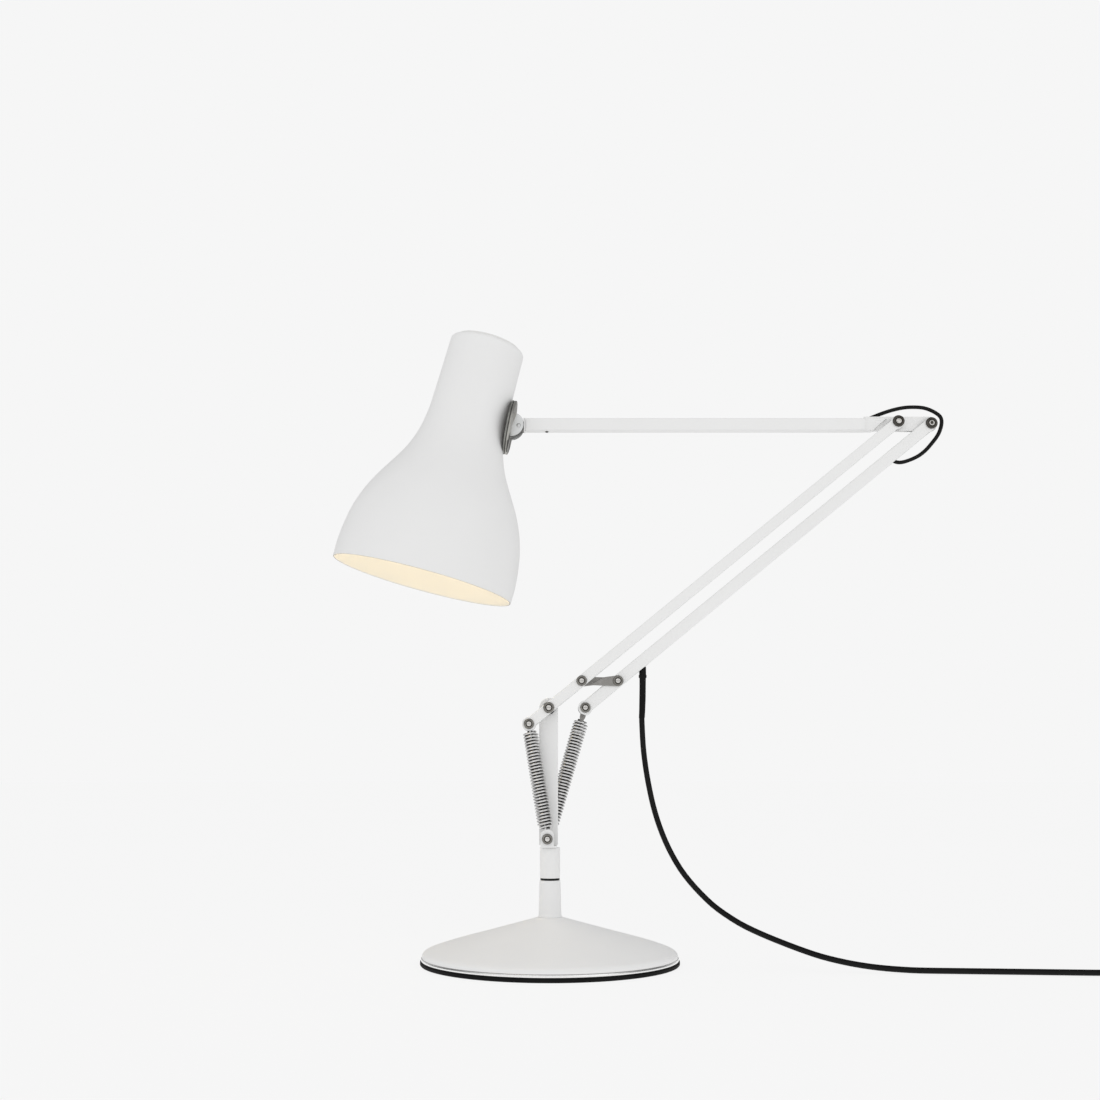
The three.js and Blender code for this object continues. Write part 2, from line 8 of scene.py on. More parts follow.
import bmesh
import bpy
import numpy as np
from mathutils import Matrix, Vector


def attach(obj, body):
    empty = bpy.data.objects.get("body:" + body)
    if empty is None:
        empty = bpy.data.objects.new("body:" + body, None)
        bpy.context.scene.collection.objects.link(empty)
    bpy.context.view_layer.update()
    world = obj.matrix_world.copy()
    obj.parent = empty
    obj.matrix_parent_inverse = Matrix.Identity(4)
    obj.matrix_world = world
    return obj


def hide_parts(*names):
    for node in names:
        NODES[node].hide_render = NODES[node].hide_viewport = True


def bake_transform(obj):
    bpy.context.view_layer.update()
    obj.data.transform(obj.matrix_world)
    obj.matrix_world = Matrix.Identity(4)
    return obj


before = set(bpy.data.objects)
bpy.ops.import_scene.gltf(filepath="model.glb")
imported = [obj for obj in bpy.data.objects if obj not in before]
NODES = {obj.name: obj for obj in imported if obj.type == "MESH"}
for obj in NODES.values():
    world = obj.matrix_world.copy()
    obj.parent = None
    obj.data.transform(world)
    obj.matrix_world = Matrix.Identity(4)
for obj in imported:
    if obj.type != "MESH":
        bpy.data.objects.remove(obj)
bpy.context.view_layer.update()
COLL = bpy.context.scene.collection
PI = math.pi

# ------------------------------------------------------------------ dimensions (mm)
P = (-1.0, 197.8)
Q = (-2.1, 95.4)
ARM_A = math.radians(39.16)
UX, UZ = math.cos(ARM_A), math.sin(ARM_A)
ARM_LEN = 372.5
V = (29.4, 0.4)
TAIL_S, LINK_S = -20.3, 33.9


def at(o, s, n=0.0):
    return (o[0] + UX * s - UZ * n, o[1] + UZ * s + UX * n)


T = at(P, TAIL_S)
LA = at(P, LINK_S)
EA = at(P, ARM_LEN)
BL = (P[0] + V[0], P[1] + V[1])
LB = (LA[0] + V[0], LA[1] + V[1])
EB = (EA[0] + V[0], EA[1] + V[1])
HP = (-26.2, 431.0)
ARM_Z = 432.6
TILT = math.radians(14.62)
MOUTH = (-104.7, 301.6)
SHADE_L = 207.0
COIL = (446.0, -91.0)

# ------------------------------------------------------------------ mesh helpers (mm)


def link_object(name, mesh):
    ob = bpy.data.objects.new(name, mesh)
    COLL.objects.link(ob)
    return ob


def from_bm(name, bm, recalc=True):
    if recalc:
        bmesh.ops.recalc_face_normals(bm, faces=bm.faces)
    me = bpy.data.meshes.new(name)
    bm.to_mesh(me)
    bm.free()
    return link_object(name, me)


def frame_of(origin, x, y, z):
    m = Matrix.Identity(4)
    for i, v in enumerate((x, y, z)):
        for k in range(3):
            m[k][i] = v[k]
    for k in range(3):
        m[k][3] = origin[k]
    return m


# local +Z of a turned piece laid along world +Y at a point (x, z)
def along_y(c):
    return frame_of((c[0], 0, c[1]), (1, 0, 0), (0, 0, -1), (0, 1, 0))


def along_z(x=0.0, y=0.0, z=0.0):
    return Matrix.Translation((x, y, z))


def bar_frame(o):
    return frame_of((o[0], 0, o[1]), (UX, 0, UZ), (0, 1, 0), (-UZ, 0, UX))


HEAD = frame_of((MOUTH[0], 0, MOUTH[1]), (math.cos(TILT), 0, -math.sin(TILT)), (0, 1, 0), (math.sin(TILT), 0, math.cos(TILT)))
# turned about the shade's local +X axis at height 143
LEAN = Matrix.Translation((36, 0, 143)) @ Matrix.Rotation(math.radians(-3.6), 4, "Y") @ Matrix.Translation((-36, 0, -143))
HEAD_X = HEAD @ LEAN @ frame_of((0, 0, 143), (0, 0, -1), (0, 1, 0), (1, 0, 0))


def spline(points, per=6):
    """Catmull-Rom through the points, kept inside the polyline's ends."""
    pts = [Vector(p) for p in points]
    out = []
    n = len(pts)
    for i in range(n - 1):
        p0, p1, p2, p3 = pts[max(i - 1, 0)], pts[i], pts[i + 1], pts[min(i + 2, n - 1)]
        for k in range(per):
            t = k / per
            out.append(0.5 * ((2 * p1) + (p2 - p0) * t + (2 * p0 - 5 * p1 + 4 * p2 - p3) * t * t + (3 * p1 - p0 - 3 * p2 + p3) * t ** 3))
    out.append(pts[-1])
    return out


def fillet(points, radius, steps=4, closed=True):
    """Rounds every corner of a 2D outline by radius (or by its own third value)."""
    n = len(points)
    out = []
    for i, p in enumerate(points):
        r = p[2] if len(p) > 2 else radius
        b = Vector(p[:2])
        if (not closed and i in (0, n - 1)) or r <= 0:
            out.append(b)
            continue
        a, c = Vector(points[i - 1][:2]), Vector(points[(i + 1) % n][:2])
        u, w = (a - b), (c - b)
        lu, lw = u.length, w.length
        if lu < 1e-6 or lw < 1e-6:
            out.append(b)
            continue
        u, w = u / lu, w / lw
        ang = math.acos(max(-1, min(1, u.dot(w))))
        if ang > PI - 0.05:
            out.append(b)
            continue
        d = min(r / math.tan(ang / 2), lu * 0.49, lw * 0.49)
        rr = d * math.tan(ang / 2)
        centre = b + (u + w).normalized() * (rr / math.sin(ang / 2))
        s, e = b + u * d, b + w * d
        va, vb = s - centre, e - centre
        sweep = va.angle_signed(vb) if va.length > 1e-9 and vb.length > 1e-9 else 0
        for k in range(steps + 1):
            t = -sweep * k / steps
            out.append(centre + Vector((va.x * math.cos(t) - va.y * math.sin(t), va.x * math.sin(t) + va.y * math.cos(t))))
    return out


def lathe(name, profile, seg=96, matrix=None, sharp=True):
    """Closed (radius, height) profile turned about local Z."""
    bm = bmesh.new()
    rings = []
    prof = [(max(0.0, p[0]), p[1]) for p in profile]
    if (Vector(prof[0]) - Vector(prof[-1])).length < 1e-6:
        prof = prof[:-1]
    loop = not (prof[0][0] < 1e-6 and prof[-1][0] < 1e-6)
    for r, h in prof:
        if r < 1e-6:
            rings.append([bm.verts.new((0, 0, h))])
        else:
            rings.append([bm.verts.new((r * math.cos(2 * PI * k / seg), r * math.sin(2 * PI * k / seg), h)) for k in range(seg)])
    pairs = [(i, i + 1) for i in range(len(rings) - 1)] + ([(len(rings) - 1, 0)] if loop else [])
    for i, j in pairs:
        a, b = rings[i], rings[j]
        for k in range(seg):
            k2 = (k + 1) % seg
            if len(a) == 1 and len(b) == 1:
                continue
            if len(a) == 1:
                bm.faces.new((a[0], b[k], b[k2]))
            elif len(b) == 1:
                bm.faces.new((a[k], b[0], a[k2]))
            else:
                bm.faces.new((a[k], b[k], b[k2], a[k2]))
    if matrix is not None:
        bmesh.ops.transform(bm, matrix=matrix, verts=bm.verts)
    return from_bm(name, bm)


def round_profile(points, radius=0.3, steps=3):
    """A closed turned profile with each corner eased, except those on the axis."""
    pts = [p if p[0] > 1e-6 else (p[0], p[1], 0.0) for p in points]
    return fillet(pts, radius, steps)


def flat_piece(name, outline, y0, y1, holes=(), bevel=0.25, matrix=None, steps=2):
    """Outline in (x, z) given thickness from y0 to y1, all edges eased by bevel. holes are (x, z, r) or outlines."""
    cu = bpy.data.curves.new(name, "CURVE")
    cu.dimensions = "2D"
    cu.fill_mode = "BOTH"
    cu.extrude = max((y1 - y0) / 2 - bevel, 0.01)
    cu.bevel_depth = bevel
    cu.bevel_resolution = steps - 1
    cu.offset = -bevel

    def add(pts):
        sp = cu.splines.new("POLY")
        sp.points.add(len(pts) - 1)
        for i, p in enumerate(pts):
            sp.points[i].co = (p[0], p[1], 0, 1)
        sp.use_cyclic_u = True

    def ccw(pts, want=True):
        area = sum(pts[i][0] * pts[(i + 1) % len(pts)][1] - pts[(i + 1) % len(pts)][0] * pts[i][1] for i in range(len(pts)))
        return list(pts) if (area > 0) == want else list(reversed(list(pts)))

    add(ccw(outline))
    for h in holes:
        if len(h) == 3 and not hasattr(h[0], "__len__"):
            pts = [(h[0] + h[2] * math.cos(2 * PI * k / 40), h[1] + h[2] * math.sin(2 * PI * k / 40)) for k in range(40)]
        else:
            pts = h
        add(ccw(pts, False))
    tmp = bpy.data.objects.new(name + "_tmp", cu)
    COLL.objects.link(tmp)
    dg = bpy.context.evaluated_depsgraph_get()
    me = bpy.data.meshes.new_from_object(tmp.evaluated_get(dg))
    bpy.data.objects.remove(tmp)
    bpy.data.curves.remove(cu)
    bm = bmesh.new()
    bm.from_mesh(me)
    bpy.data.meshes.remove(me)
    bmesh.ops.remove_doubles(bm, verts=bm.verts, dist=1e-4)
    # curve (x, y, z) -> (x, thickness, z)
    m = frame_of((0, (y0 + y1) / 2, 0), (1, 0, 0), (0, 0, 1), (0, -1, 0))
    bmesh.ops.transform(bm, matrix=(matrix @ m) if matrix is not None else m, verts=bm.verts)
    return from_bm(name, bm)


def rounded_rect(hx, hz, r, steps=4, cx=0.0, cz=0.0):
    return [(cx + p.x, cz + p.y) for p in fillet([(-hx, -hz), (hx, -hz), (hx, hz), (-hx, hz)], r, steps)]


def prism_x(name, outline_yz, x0, x1, matrix=None, cuts=1):
    """Solid prism of a (y, z) outline from x0 to x1."""
    bm = bmesh.new()
    rows = []
    for i in range(cuts + 1):
        x = x0 + (x1 - x0) * i / cuts
        rows.append([bm.verts.new((x, y, z)) for y, z in outline_yz])
    n = len(outline_yz)
    for a, b in zip(rows, rows[1:]):
        for k in range(n):
            bm.faces.new((a[k], a[(k + 1) % n], b[(k + 1) % n], b[k]))
    bm.faces.new(rows[0])
    bm.faces.new(rows[-1])
    if matrix is not None:
        bmesh.ops.transform(bm, matrix=matrix, verts=bm.verts)
    return from_bm(name, bm)


def rbox(name, x0, x1, y0, y1, z0, z1, r=0.3, seg=2, matrix=None):
    bm = bmesh.new()
    bmesh.ops.create_cube(bm, size=1.0)
    bmesh.ops.scale(bm, vec=(x1 - x0, y1 - y0, z1 - z0), verts=bm.verts)
    bmesh.ops.translate(bm, vec=((x0 + x1) / 2, (y0 + y1) / 2, (z0 + z1) / 2), verts=bm.verts)
    if r > 0:
        bmesh.ops.bevel(bm, geom=list(bm.edges), offset=r, segments=seg, profile=0.5, affect="EDGES")
    if matrix is not None:
        bmesh.ops.transform(bm, matrix=matrix, verts=bm.verts)
    return from_bm(name, bm)


def rod(name, r, h0, h1, matrix, seg=48, ease=0.0):
    prof = [(0, h0), (r - ease, h0)] + ([(r, h0 + ease), (r, h1 - ease)] if ease else [(r, h1)]) + ([(r - ease, h1)] if ease else []) + [(0, h1)]
    return lathe(name, prof, seg, matrix)


def sweep(name, points, radius, sides=12, matrix=None, caps=True, radii=None):
    """A closed round tube along points (mm), with parallel-transported rings."""
    pts = [Vector(p) for p in points]
    n = len(pts)
    tang = []
    for i in range(n):
        a, b = pts[max(i - 1, 0)], pts[min(i + 1, n - 1)]
        tang.append((b - a).normalized())
    ref = Vector((0, 0, 1)) if abs(tang[0].z) < 0.9 else Vector((1, 0, 0))
    u = (ref - tang[0] * ref.dot(tang[0])).normalized()
    bm = bmesh.new()
    rings = []
    for i in range(n):
        if i:
            axis = tang[i - 1].cross(tang[i])
            if axis.length > 1e-9:
                ang = tang[i - 1].angle(tang[i])
                u = Matrix.Rotation(ang, 3, axis.normalized()) @ u
            u = (u - tang[i] * u.dot(tang[i])).normalized()
        w = tang[i].cross(u)
        r = radii[i] if radii is not None else radius
        rings.append([bm.verts.new(pts[i] + (u * math.cos(2 * PI * k / sides) + w * math.sin(2 * PI * k / sides)) * r) for k in range(sides)])
    for a, b in zip(rings, rings[1:]):
        for k in range(sides):
            k2 = (k + 1) % sides
            bm.faces.new((a[k], a[k2], b[k2], b[k]))
    if caps:
        bm.faces.new(rings[0])
        bm.faces.new(rings[-1])
    if matrix is not None:
        bmesh.ops.transform(bm, matrix=matrix, verts=bm.verts)
    return from_bm(name, bm)


def bake_modifiers(ob):
    dg = bpy.context.evaluated_depsgraph_get()
    me = bpy.data.meshes.new_from_object(ob.evaluated_get(dg), preserve_all_data_layers=True, depsgraph=dg)
    old = ob.data
    ob.modifiers.clear()
    ob.data = me
    me.name = ob.name
    if old.users == 0:
        bpy.data.meshes.remove(old)
    return ob


def boolean(ob, others, op="DIFFERENCE"):
    for o in others:
        m = ob.modifiers.new("b", "BOOLEAN")
        m.object, m.operation, m.solver = o, op, "MANIFOLD"
    bake_modifiers(ob)
    if not len(ob.data.polygons):
        raise RuntimeError(f"boolean on {ob.name} left nothing")
    for o in others:
        d = o.data
        bpy.data.objects.remove(o)
        bpy.data.meshes.remove(d)
    return ob


def join_meshes(name, obs):
    bm = bmesh.new()
    for o in obs:
        bm.from_mesh(o.data)
        d = o.data
        bpy.data.objects.remove(o)
        bpy.data.meshes.remove(d)
    return from_bm(name, bm, recalc=False)


def ease_edges(ob, width=0.2, angle=40, segments=2):
    bm = bmesh.new()
    bm.from_mesh(ob.data)
    bmesh.ops.remove_doubles(bm, verts=bm.verts, dist=2e-3)
    bmesh.ops.dissolve_degenerate(bm, dist=1e-3, edges=bm.edges)
    bmesh.ops.dissolve_limit(bm, angle_limit=math.radians(0.8), verts=bm.verts, edges=bm.edges)
    bm.to_mesh(ob.data)
    bm.free()
    m = ob.modifiers.new("bevel", "BEVEL")
    m.width, m.segments, m.limit_method, m.angle_limit = width, segments, "ANGLE", math.radians(angle)
    m.use_clamp_overlap = True
    m.miter_outer = "MITER_ARC"
    return bake_modifiers(ob)


def tint(ob, pick):
    """Chooses each face's material index from its centre and normal (mm, world)."""
    while len(ob.data.materials) < 3:
        ob.data.materials.append(None)
    for f in ob.data.polygons:
        f.material_index = pick(f.center, f.normal)
    return ob


def place(ob, body, material, replaces=(), smooth=38, weighted=True, blend=None):
    """Scales a finished piece to metres, shades it, gives it its material and parents it to its body; a piece given
    blend is only baked in world space and gets no body.
    """
    me = ob.data
    me.transform(Matrix.Scale(0.001, 4))
    bm = bmesh.new()
    bm.from_mesh(me)
    lim = math.radians(smooth)
    for f in bm.faces:
        f.smooth = True
    for e in bm.edges:
        if len(e.link_faces) == 2 and e.calc_face_angle(0) > lim:
            e.smooth = False
    bm.to_mesh(me)
    bm.free()
    mats = material if isinstance(material, (list, tuple)) else [material]
    index = [min(f.material_index, len(mats) - 1) for f in me.polygons]
    me.materials.clear()
    for m in mats:
        me.materials.append(m)
    for f, i in zip(me.polygons, index):
        f.material_index = i
    if weighted:
        m = ob.modifiers.new("wn", "WEIGHTED_NORMAL")
        m.keep_sharp = True
        m.weight = 60
        bake_modifiers(ob)
    if blend:
        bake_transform(ob)
    else:
        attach(ob, body)
    if replaces:
        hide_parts(*([replaces] if isinstance(replaces, str) else replaces))
    return ob


# ------------------------------------------------------------------ materials


def node(nt, kind, **kw):
    n = nt.nodes.new(kind)
    for k, v in kw.items():
        if k.startswith("in_"):
            key = k[3:]
            key = int(key) if key.isdigit() else key.replace("_", " ")
            n.inputs[key].default_value = v
        else:
            setattr(n, k, v)
    return n


def new_material(name, **sockets):
    m = bpy.data.materials.new(name)
    m.use_nodes = True
    nt = m.node_tree
    nt.nodes.clear()
    out = nt.nodes.new("ShaderNodeOutputMaterial")
    b = nt.nodes.new("ShaderNodeBsdfPrincipled")
    nt.links.new(b.outputs[0], out.inputs[0])
    for k, v in sockets.items():
        b.inputs[k.replace("_", " ")].default_value = v
    coord = nt.nodes.new("ShaderNodeTexCoord")
    return m, nt, b, coord


def noise(nt, coord, scale, detail=3.0, rough=0.55, stretch=None, out="Object"):
    src = coord.outputs[out]
    if stretch:
        mp = nt.nodes.new("ShaderNodeMapping")
        mp.inputs["Scale"].default_value = stretch
        nt.links.new(src, mp.inputs["Vector"])
        src = mp.outputs["Vector"]
    n = nt.nodes.new("ShaderNodeTexNoise")
    n.inputs["Scale"].default_value = scale
    n.inputs["Detail"].default_value = detail
    n.inputs["Roughness"].default_value = rough
    nt.links.new(src, n.inputs["Vector"])
    return n


def ramp(nt, fac, stops):
    r = nt.nodes.new("ShaderNodeValToRGB")
    el = r.color_ramp.elements
    while len(el) > len(stops):
        el.remove(el[-1])
    while len(el) < len(stops):
        el.new(0.5)
    for e, (pos, col) in zip(el, stops):
        e.position = pos
        e.color = (*col, 1) if len(col) == 3 else col
    nt.links.new(fac, r.inputs[0])
    return r


def map_range(nt, value, lo, hi, frm=(0.3, 0.7)):
    r = nt.nodes.new("ShaderNodeMapRange")
    r.inputs["From Min"].default_value, r.inputs["From Max"].default_value = frm
    r.inputs["To Min"].default_value, r.inputs["To Max"].default_value = lo, hi
    nt.links.new(value, r.inputs["Value"])
    return r


def bump(nt, bsdf, height, strength, distance, prev=None):
    b = nt.nodes.new("ShaderNodeBump")
    b.inputs["Strength"].default_value = strength
    b.inputs["Distance"].default_value = distance
    nt.links.new(height, b.inputs["Height"])
    if prev is not None:
        nt.links.new(prev.outputs[0], b.inputs["Normal"])
    nt.links.new(b.outputs[0], bsdf.inputs["Normal"])
    return b


def paint(name, a, b_, rough, peel=0.10, coat=0.0, **extra):
    """Sprayed satin enamel: faint tone drift, orange peel and fine nib."""
    m, nt, b, co = new_material(name, Coat_Weight=coat, Coat_Roughness=0.25, IOR=1.5, **extra)
    drift = noise(nt, co, 9.0, 3)
    nt.links.new(ramp(nt, drift.outputs["Fac"], [(0.3, a), (0.7, b_)]).outputs[0], b.inputs["Base Color"])
    rn = noise(nt, co, 60.0, 4)
    nt.links.new(map_range(nt, rn.outputs["Fac"], rough - 0.04, rough + 0.05).outputs[0], b.inputs["Roughness"])
    big = noise(nt, co, 420.0, 2)
    fine = noise(nt, co, 2600.0, 2)
    first = bump(nt, b, big.outputs["Fac"], peel, 0.00012)
    bump(nt, b, fine.outputs["Fac"], peel * 0.6, 0.00003, first)
    return m


def metal(name, a, b_, rough, scale=40.0, stretch=None, scratch=0.06, spots=0.03, **extra):
    m, nt, b, co = new_material(name, Metallic=1.0, **extra)
    drift = noise(nt, co, scale, 4)
    nt.links.new(ramp(nt, drift.outputs["Fac"], [(0.32, a), (0.68, b_)]).outputs[0], b.inputs["Base Color"])
    lines = noise(nt, co, 900.0 if stretch else 700.0, 3, 0.6, stretch)
    nt.links.new(map_range(nt, lines.outputs["Fac"], rough - spots, rough + spots * 2).outputs[0], b.inputs["Roughness"])
    bump(nt, b, lines.outputs["Fac"], scratch, 0.00003)
    return m


def plastic(name, a, b_, rough, grain=1500.0, depth=0.12, **extra):
    m, nt, b, co = new_material(name, **extra)
    drift = noise(nt, co, 30.0, 3)
    nt.links.new(ramp(nt, drift.outputs["Fac"], [(0.35, a), (0.65, b_)]).outputs[0], b.inputs["Base Color"])
    g = noise(nt, co, grain, 2)
    nt.links.new(map_range(nt, g.outputs["Fac"], rough - 0.05, rough + 0.06).outputs[0], b.inputs["Roughness"])
    bump(nt, b, g.outputs["Fac"], depth, 0.00006)
    return m


def grey(v):
    return (v, v, v)


WHITE = paint("white_paint", (0.822, 0.822, 0.820), (0.840, 0.840, 0.838), 0.50, 0.06, Specular_IOR_Level=0.35)
WHITE_BAR = paint("white_paint_arms", (0.832, 0.832, 0.828), (0.850, 0.850, 0.846), 0.46, 0.06, Specular_IOR_Level=0.35)
# greyish beige for the lampshade's mouth edge, a painted shade line on the white paint
RIM_PAINTED_SHADE = paint("shade_rim_painted_shade", (0.42, 0.385, 0.335), (0.47, 0.43, 0.375), 0.6, 0.05)
# white paint darkened as painted shade, for the slanted end of the arm's tail box
SHADED_WHITE = paint("white_paint_painted_shade", (0.30, 0.295, 0.28), (0.42, 0.415, 0.40), 0.6, 0.06)
# white paint for the lampshade's inside, tinted warm cream as painted bulb light
WHITE_IN_PAINTED_GLOW = paint("white_paint_inside_painted_glow", (0.83, 0.81, 0.755), (0.85, 0.83, 0.775), 0.55, 0.08)
WHITE_PLASTIC = plastic("white_plastic", (0.80, 0.80, 0.785), (0.83, 0.83, 0.815), 0.42)
CERAMIC = plastic("holder_plastic", (0.74, 0.72, 0.67), (0.78, 0.76, 0.71), 0.5)
RUBBER = plastic("rubber", grey(0.004), grey(0.007), 0.62, 900.0, 0.25, Specular_IOR_Level=0.12)
RIM_STEEL = metal("polished_rim", (0.90, 0.90, 0.895), (0.95, 0.95, 0.945), 0.22, 60.0, (1, 1, 14), 0.02)
STEEL = metal("brushed_steel", (0.58, 0.57, 0.56), (0.68, 0.67, 0.66), 0.26, 60.0, (1, 1, 14))
LINK_STEEL = metal("link_steel", (0.30, 0.29, 0.275), (0.38, 0.37, 0.355), 0.38, 120.0, (1, 12, 12), 0.10)
# dark knuckle metal for the neck plate, kept dark partly as a painted shadow line along the lampshade's neck
DARK_PLATE_AND_SHADE = metal("knuckle_metal_and_painted_shade", (0.25, 0.25, 0.235), (0.36, 0.355, 0.335), 0.42, 90.0, (10, 1, 10), 0.10)
MID_PLATE = metal("knuckle_mid", (0.40, 0.395, 0.37), (0.52, 0.51, 0.48), 0.42, 90.0, (10, 1, 10), 0.10)
# lighter copy of the knuckle metal, painted light on the cheeks' front faces; the hinge pin's ends share it
KNUCKLE_PAINTED_LIGHT = metal("knuckle_painted_light", (0.74, 0.75, 0.75), (0.82, 0.83, 0.83), 0.34, 90.0, (10, 1, 10), 0.06)
DARK_STEEL = metal("dark_nickel", (0.060, 0.056, 0.050), (0.115, 0.108, 0.098), 0.34, 160.0, None, 0.10)
WASHER_STEEL = metal("bolt_washer", (0.19, 0.182, 0.168), (0.27, 0.26, 0.24), 0.30, 160.0, None, 0.08)
BRIGHT_NICKEL = metal("bolt_centre", (0.60, 0.585, 0.56), (0.74, 0.725, 0.70), 0.22, 160.0, None, 0.05)
CHROME = metal("spring_wire", (0.66, 0.655, 0.65), (0.80, 0.795, 0.79), 0.20, 200.0, None, 0.05)
# near-black metal that paints shade: on the spring faces between turns, on the arm tubes' inside faces and on the
# knuckle cheeks' rims
PAINTED_SHADE_METAL = metal("painted_shade_near_black", (0.055, 0.053, 0.05), (0.10, 0.097, 0.09), 0.5, 300.0, None, 0.1)
IRON = plastic("cast_iron", (0.055, 0.055, 0.058), (0.10, 0.10, 0.105), 0.62, 500.0, 0.5, Metallic=0.6)
CABLE = plastic("cable_sheath", grey(0.0045), grey(0.0080), 0.46, 1200.0, 0.10, Specular_IOR_Level=0.14)
BLACK_PLASTIC = plastic("black_plastic", grey(0.006), grey(0.010), 0.40, 1600.0, 0.15, Specular_IOR_Level=0.2)


def bulb_material():
    m, nt, b, co = new_material("bulb_glass", Roughness=0.25, Emission_Strength=3.0)
    lw = noise(nt, co, 18.0, 2)
    nt.links.new(ramp(nt, lw.outputs["Fac"], [(0.3, (1.0, 0.80, 0.50)), (0.7, (1.0, 0.84, 0.56))]).outputs[0], b.inputs["Emission Color"])
    nt.links.new(ramp(nt, lw.outputs["Fac"], [(0.3, (0.90, 0.88, 0.82)), (0.7, (0.93, 0.91, 0.86))]).outputs[0], b.inputs["Base Color"])
    return m


BULB = bulb_material()

# ------------------------------------------------------------------ camera
cam_data = bpy.data.cameras.new("camera")
cam_data.lens, cam_data.sensor_width, cam_data.sensor_fit = 43.37, 36.0, "HORIZONTAL"
cam_data.clip_start, cam_data.clip_end = 0.05, 60.0
camera = bpy.data.objects.new("camera", cam_data)
camera.location = (0.0, -1.0734, 0.1449)
camera.rotation_euler = (math.radians(99.637), 0.0, 0.0)
COLL.objects.link(camera)
bpy.context.scene.camera = camera

# ------------------------------------------------------------------ cords
LEAD_D, ELBOW_D = 4.4, 3.2


def resample(points, step):
    pts = [Vector(p) for p in points]
    dist = [0.0]
    for a, b in zip(pts, pts[1:]):
        dist.append(dist[-1] + (b - a).length)
    total = dist[-1]
    n = max(2, int(round(total / step)))
    out, j = [], 0
    for i in range(n + 1):
        d = total * i / n
        while j < len(pts) - 2 and dist[j + 1] < d:
            j += 1
        seg = dist[j + 1] - dist[j]
        t = (d - dist[j]) / seg if seg > 1e-9 else 0
        out.append(pts[j].lerp(pts[j + 1], max(0, min(1, t))))
    return out


def polyline_length(points):
    return sum((Vector(a) - Vector(b)).length for a, b in zip(points, points[1:]))


hang = [(73.72, -0.95, 192.5), (73.75, -1.05, 189.9), (73.9, -1.6, 182.1), (74.6, -2.4, 166.2), (76.3, -3.4, 150.4), (78.8, -4.6, 134.8),
        (82.2, -6.0, 118.8), (86.7, -7.8, 103.8), (93.0, -10.0, 88.3), (101.2, -13.0, 73.4), (110.2, -16.0, 61.5),
        (121.4, -19.5, 49.8), (130.7, -22.2, 42.1), (145.4, -26.0, 32.8), (159.9, -29.5, 26.0), (174.4, -33.0, 20.3),
        (188.7, -37.0, 15.2), (202.8, -41.0, 10.8), (216.9, -44.5, 7.6), (231.1, -47.5, 5.2), (245.3, -50.0, 3.6),
        (259.6, -52.2, 2.7), (273.8, -54.5, 2.3), (302.5, -57.5, 2.3), (331.1, -60.0, 2.3), (359.7, -62.5, 2.3),
        (388.0, -65.0, 2.3), (404.0, -66.0, 2.3), (418.0, -65.2, 2.3), (432.0, -62.8, 2.3)]
# eight turns in a three by three bundle, clockwise from above, ending on the top outer turn
RADII = [29.35, 24.95, 20.55]
plan = [(29.35, 2.3), (24.95, 2.3), (20.55, 2.3), (20.55, 6.7), (24.95, 6.7), (29.35, 6.7), (24.95, 11.1), (29.35, 11.1)]
coil = []
STEPS = 36
for turn, (r, z) in enumerate(plan):
    nr, nz = plan[turn + 1] if turn + 1 < len(plan) else (r, z)
    for k in range(STEPS):
        f = k / STEPS
        w = max(0.0, (f - 0.72) / 0.28)
        w = w * w * (3 - 2 * w)
        a = PI / 2 - 2 * PI * f
        rr, zz = r + (nr - r) * w, z + (nz - z) * w
        coil.append((COIL[0] + rr * math.cos(a), COIL[1] + rr * math.sin(a), zz))
coil.append((COIL[0], COIL[1] + plan[-1][0], plan[-1][1]))
tail = [(456.0, -61.65, 11.0), (464.4, -61.8, 10.7), (471.0, -62.4, 10.2), (477.2, -64.6, 9.4), (481.8, -68.2, 8.5),
        (485.4, -72.8, 7.6), (487.5, -77.6, 6.8), (488.2, -83.6, 6.1), (488.2, -87.0, 6.1)]
hang_fine = resample(spline(hang + [coil[0]], 6), 6.0)
lead_path = hang_fine[:-1] + [Vector(p) for p in coil[:-1]] + resample(spline([coil[-1]] + tail, 4), 4.0)
lead = sweep("mains_lead_cord", lead_path, LEAD_D / 2, 12)
LEAD_LEN = polyline_length(lead_path) / 1000

elbow = [(250, 3.4, 434.4), (256, 3.6, 435.4), (262.2, 3.8, 437.2), (270.8, 3.9, 440.9), (280.2, 3.9, 444.6), (289.5, 3.6, 447.4),
         (298.8, 3.4, 449.1), (308.8, 2.9, 449.1), (315.4, 2.6, 447.9), (321.8, 2.2, 444.9), (326.6, 1.9, 440.9), (327.6, 1.5, 436.3),
         (326.2, 1.3, 430.0), (323.2, 1.1, 423.9), (317.8, 0.9, 417.0), (312.4, 0.7, 411.2), (306.2, 0.5, 406.5), (298.5, 0.3, 402.9),
         (291.6, 0.1, 401.0), (286.6, 0, 401.6), (283.2, 0, 404.2)]
elbow_path = resample(spline(elbow, 8), 2.0)
elbow_cord = sweep("elbow_cable_cord", elbow_path, ELBOW_D / 2, 12)
ELBOW_LEN = polyline_length(elbow_path) / 1000

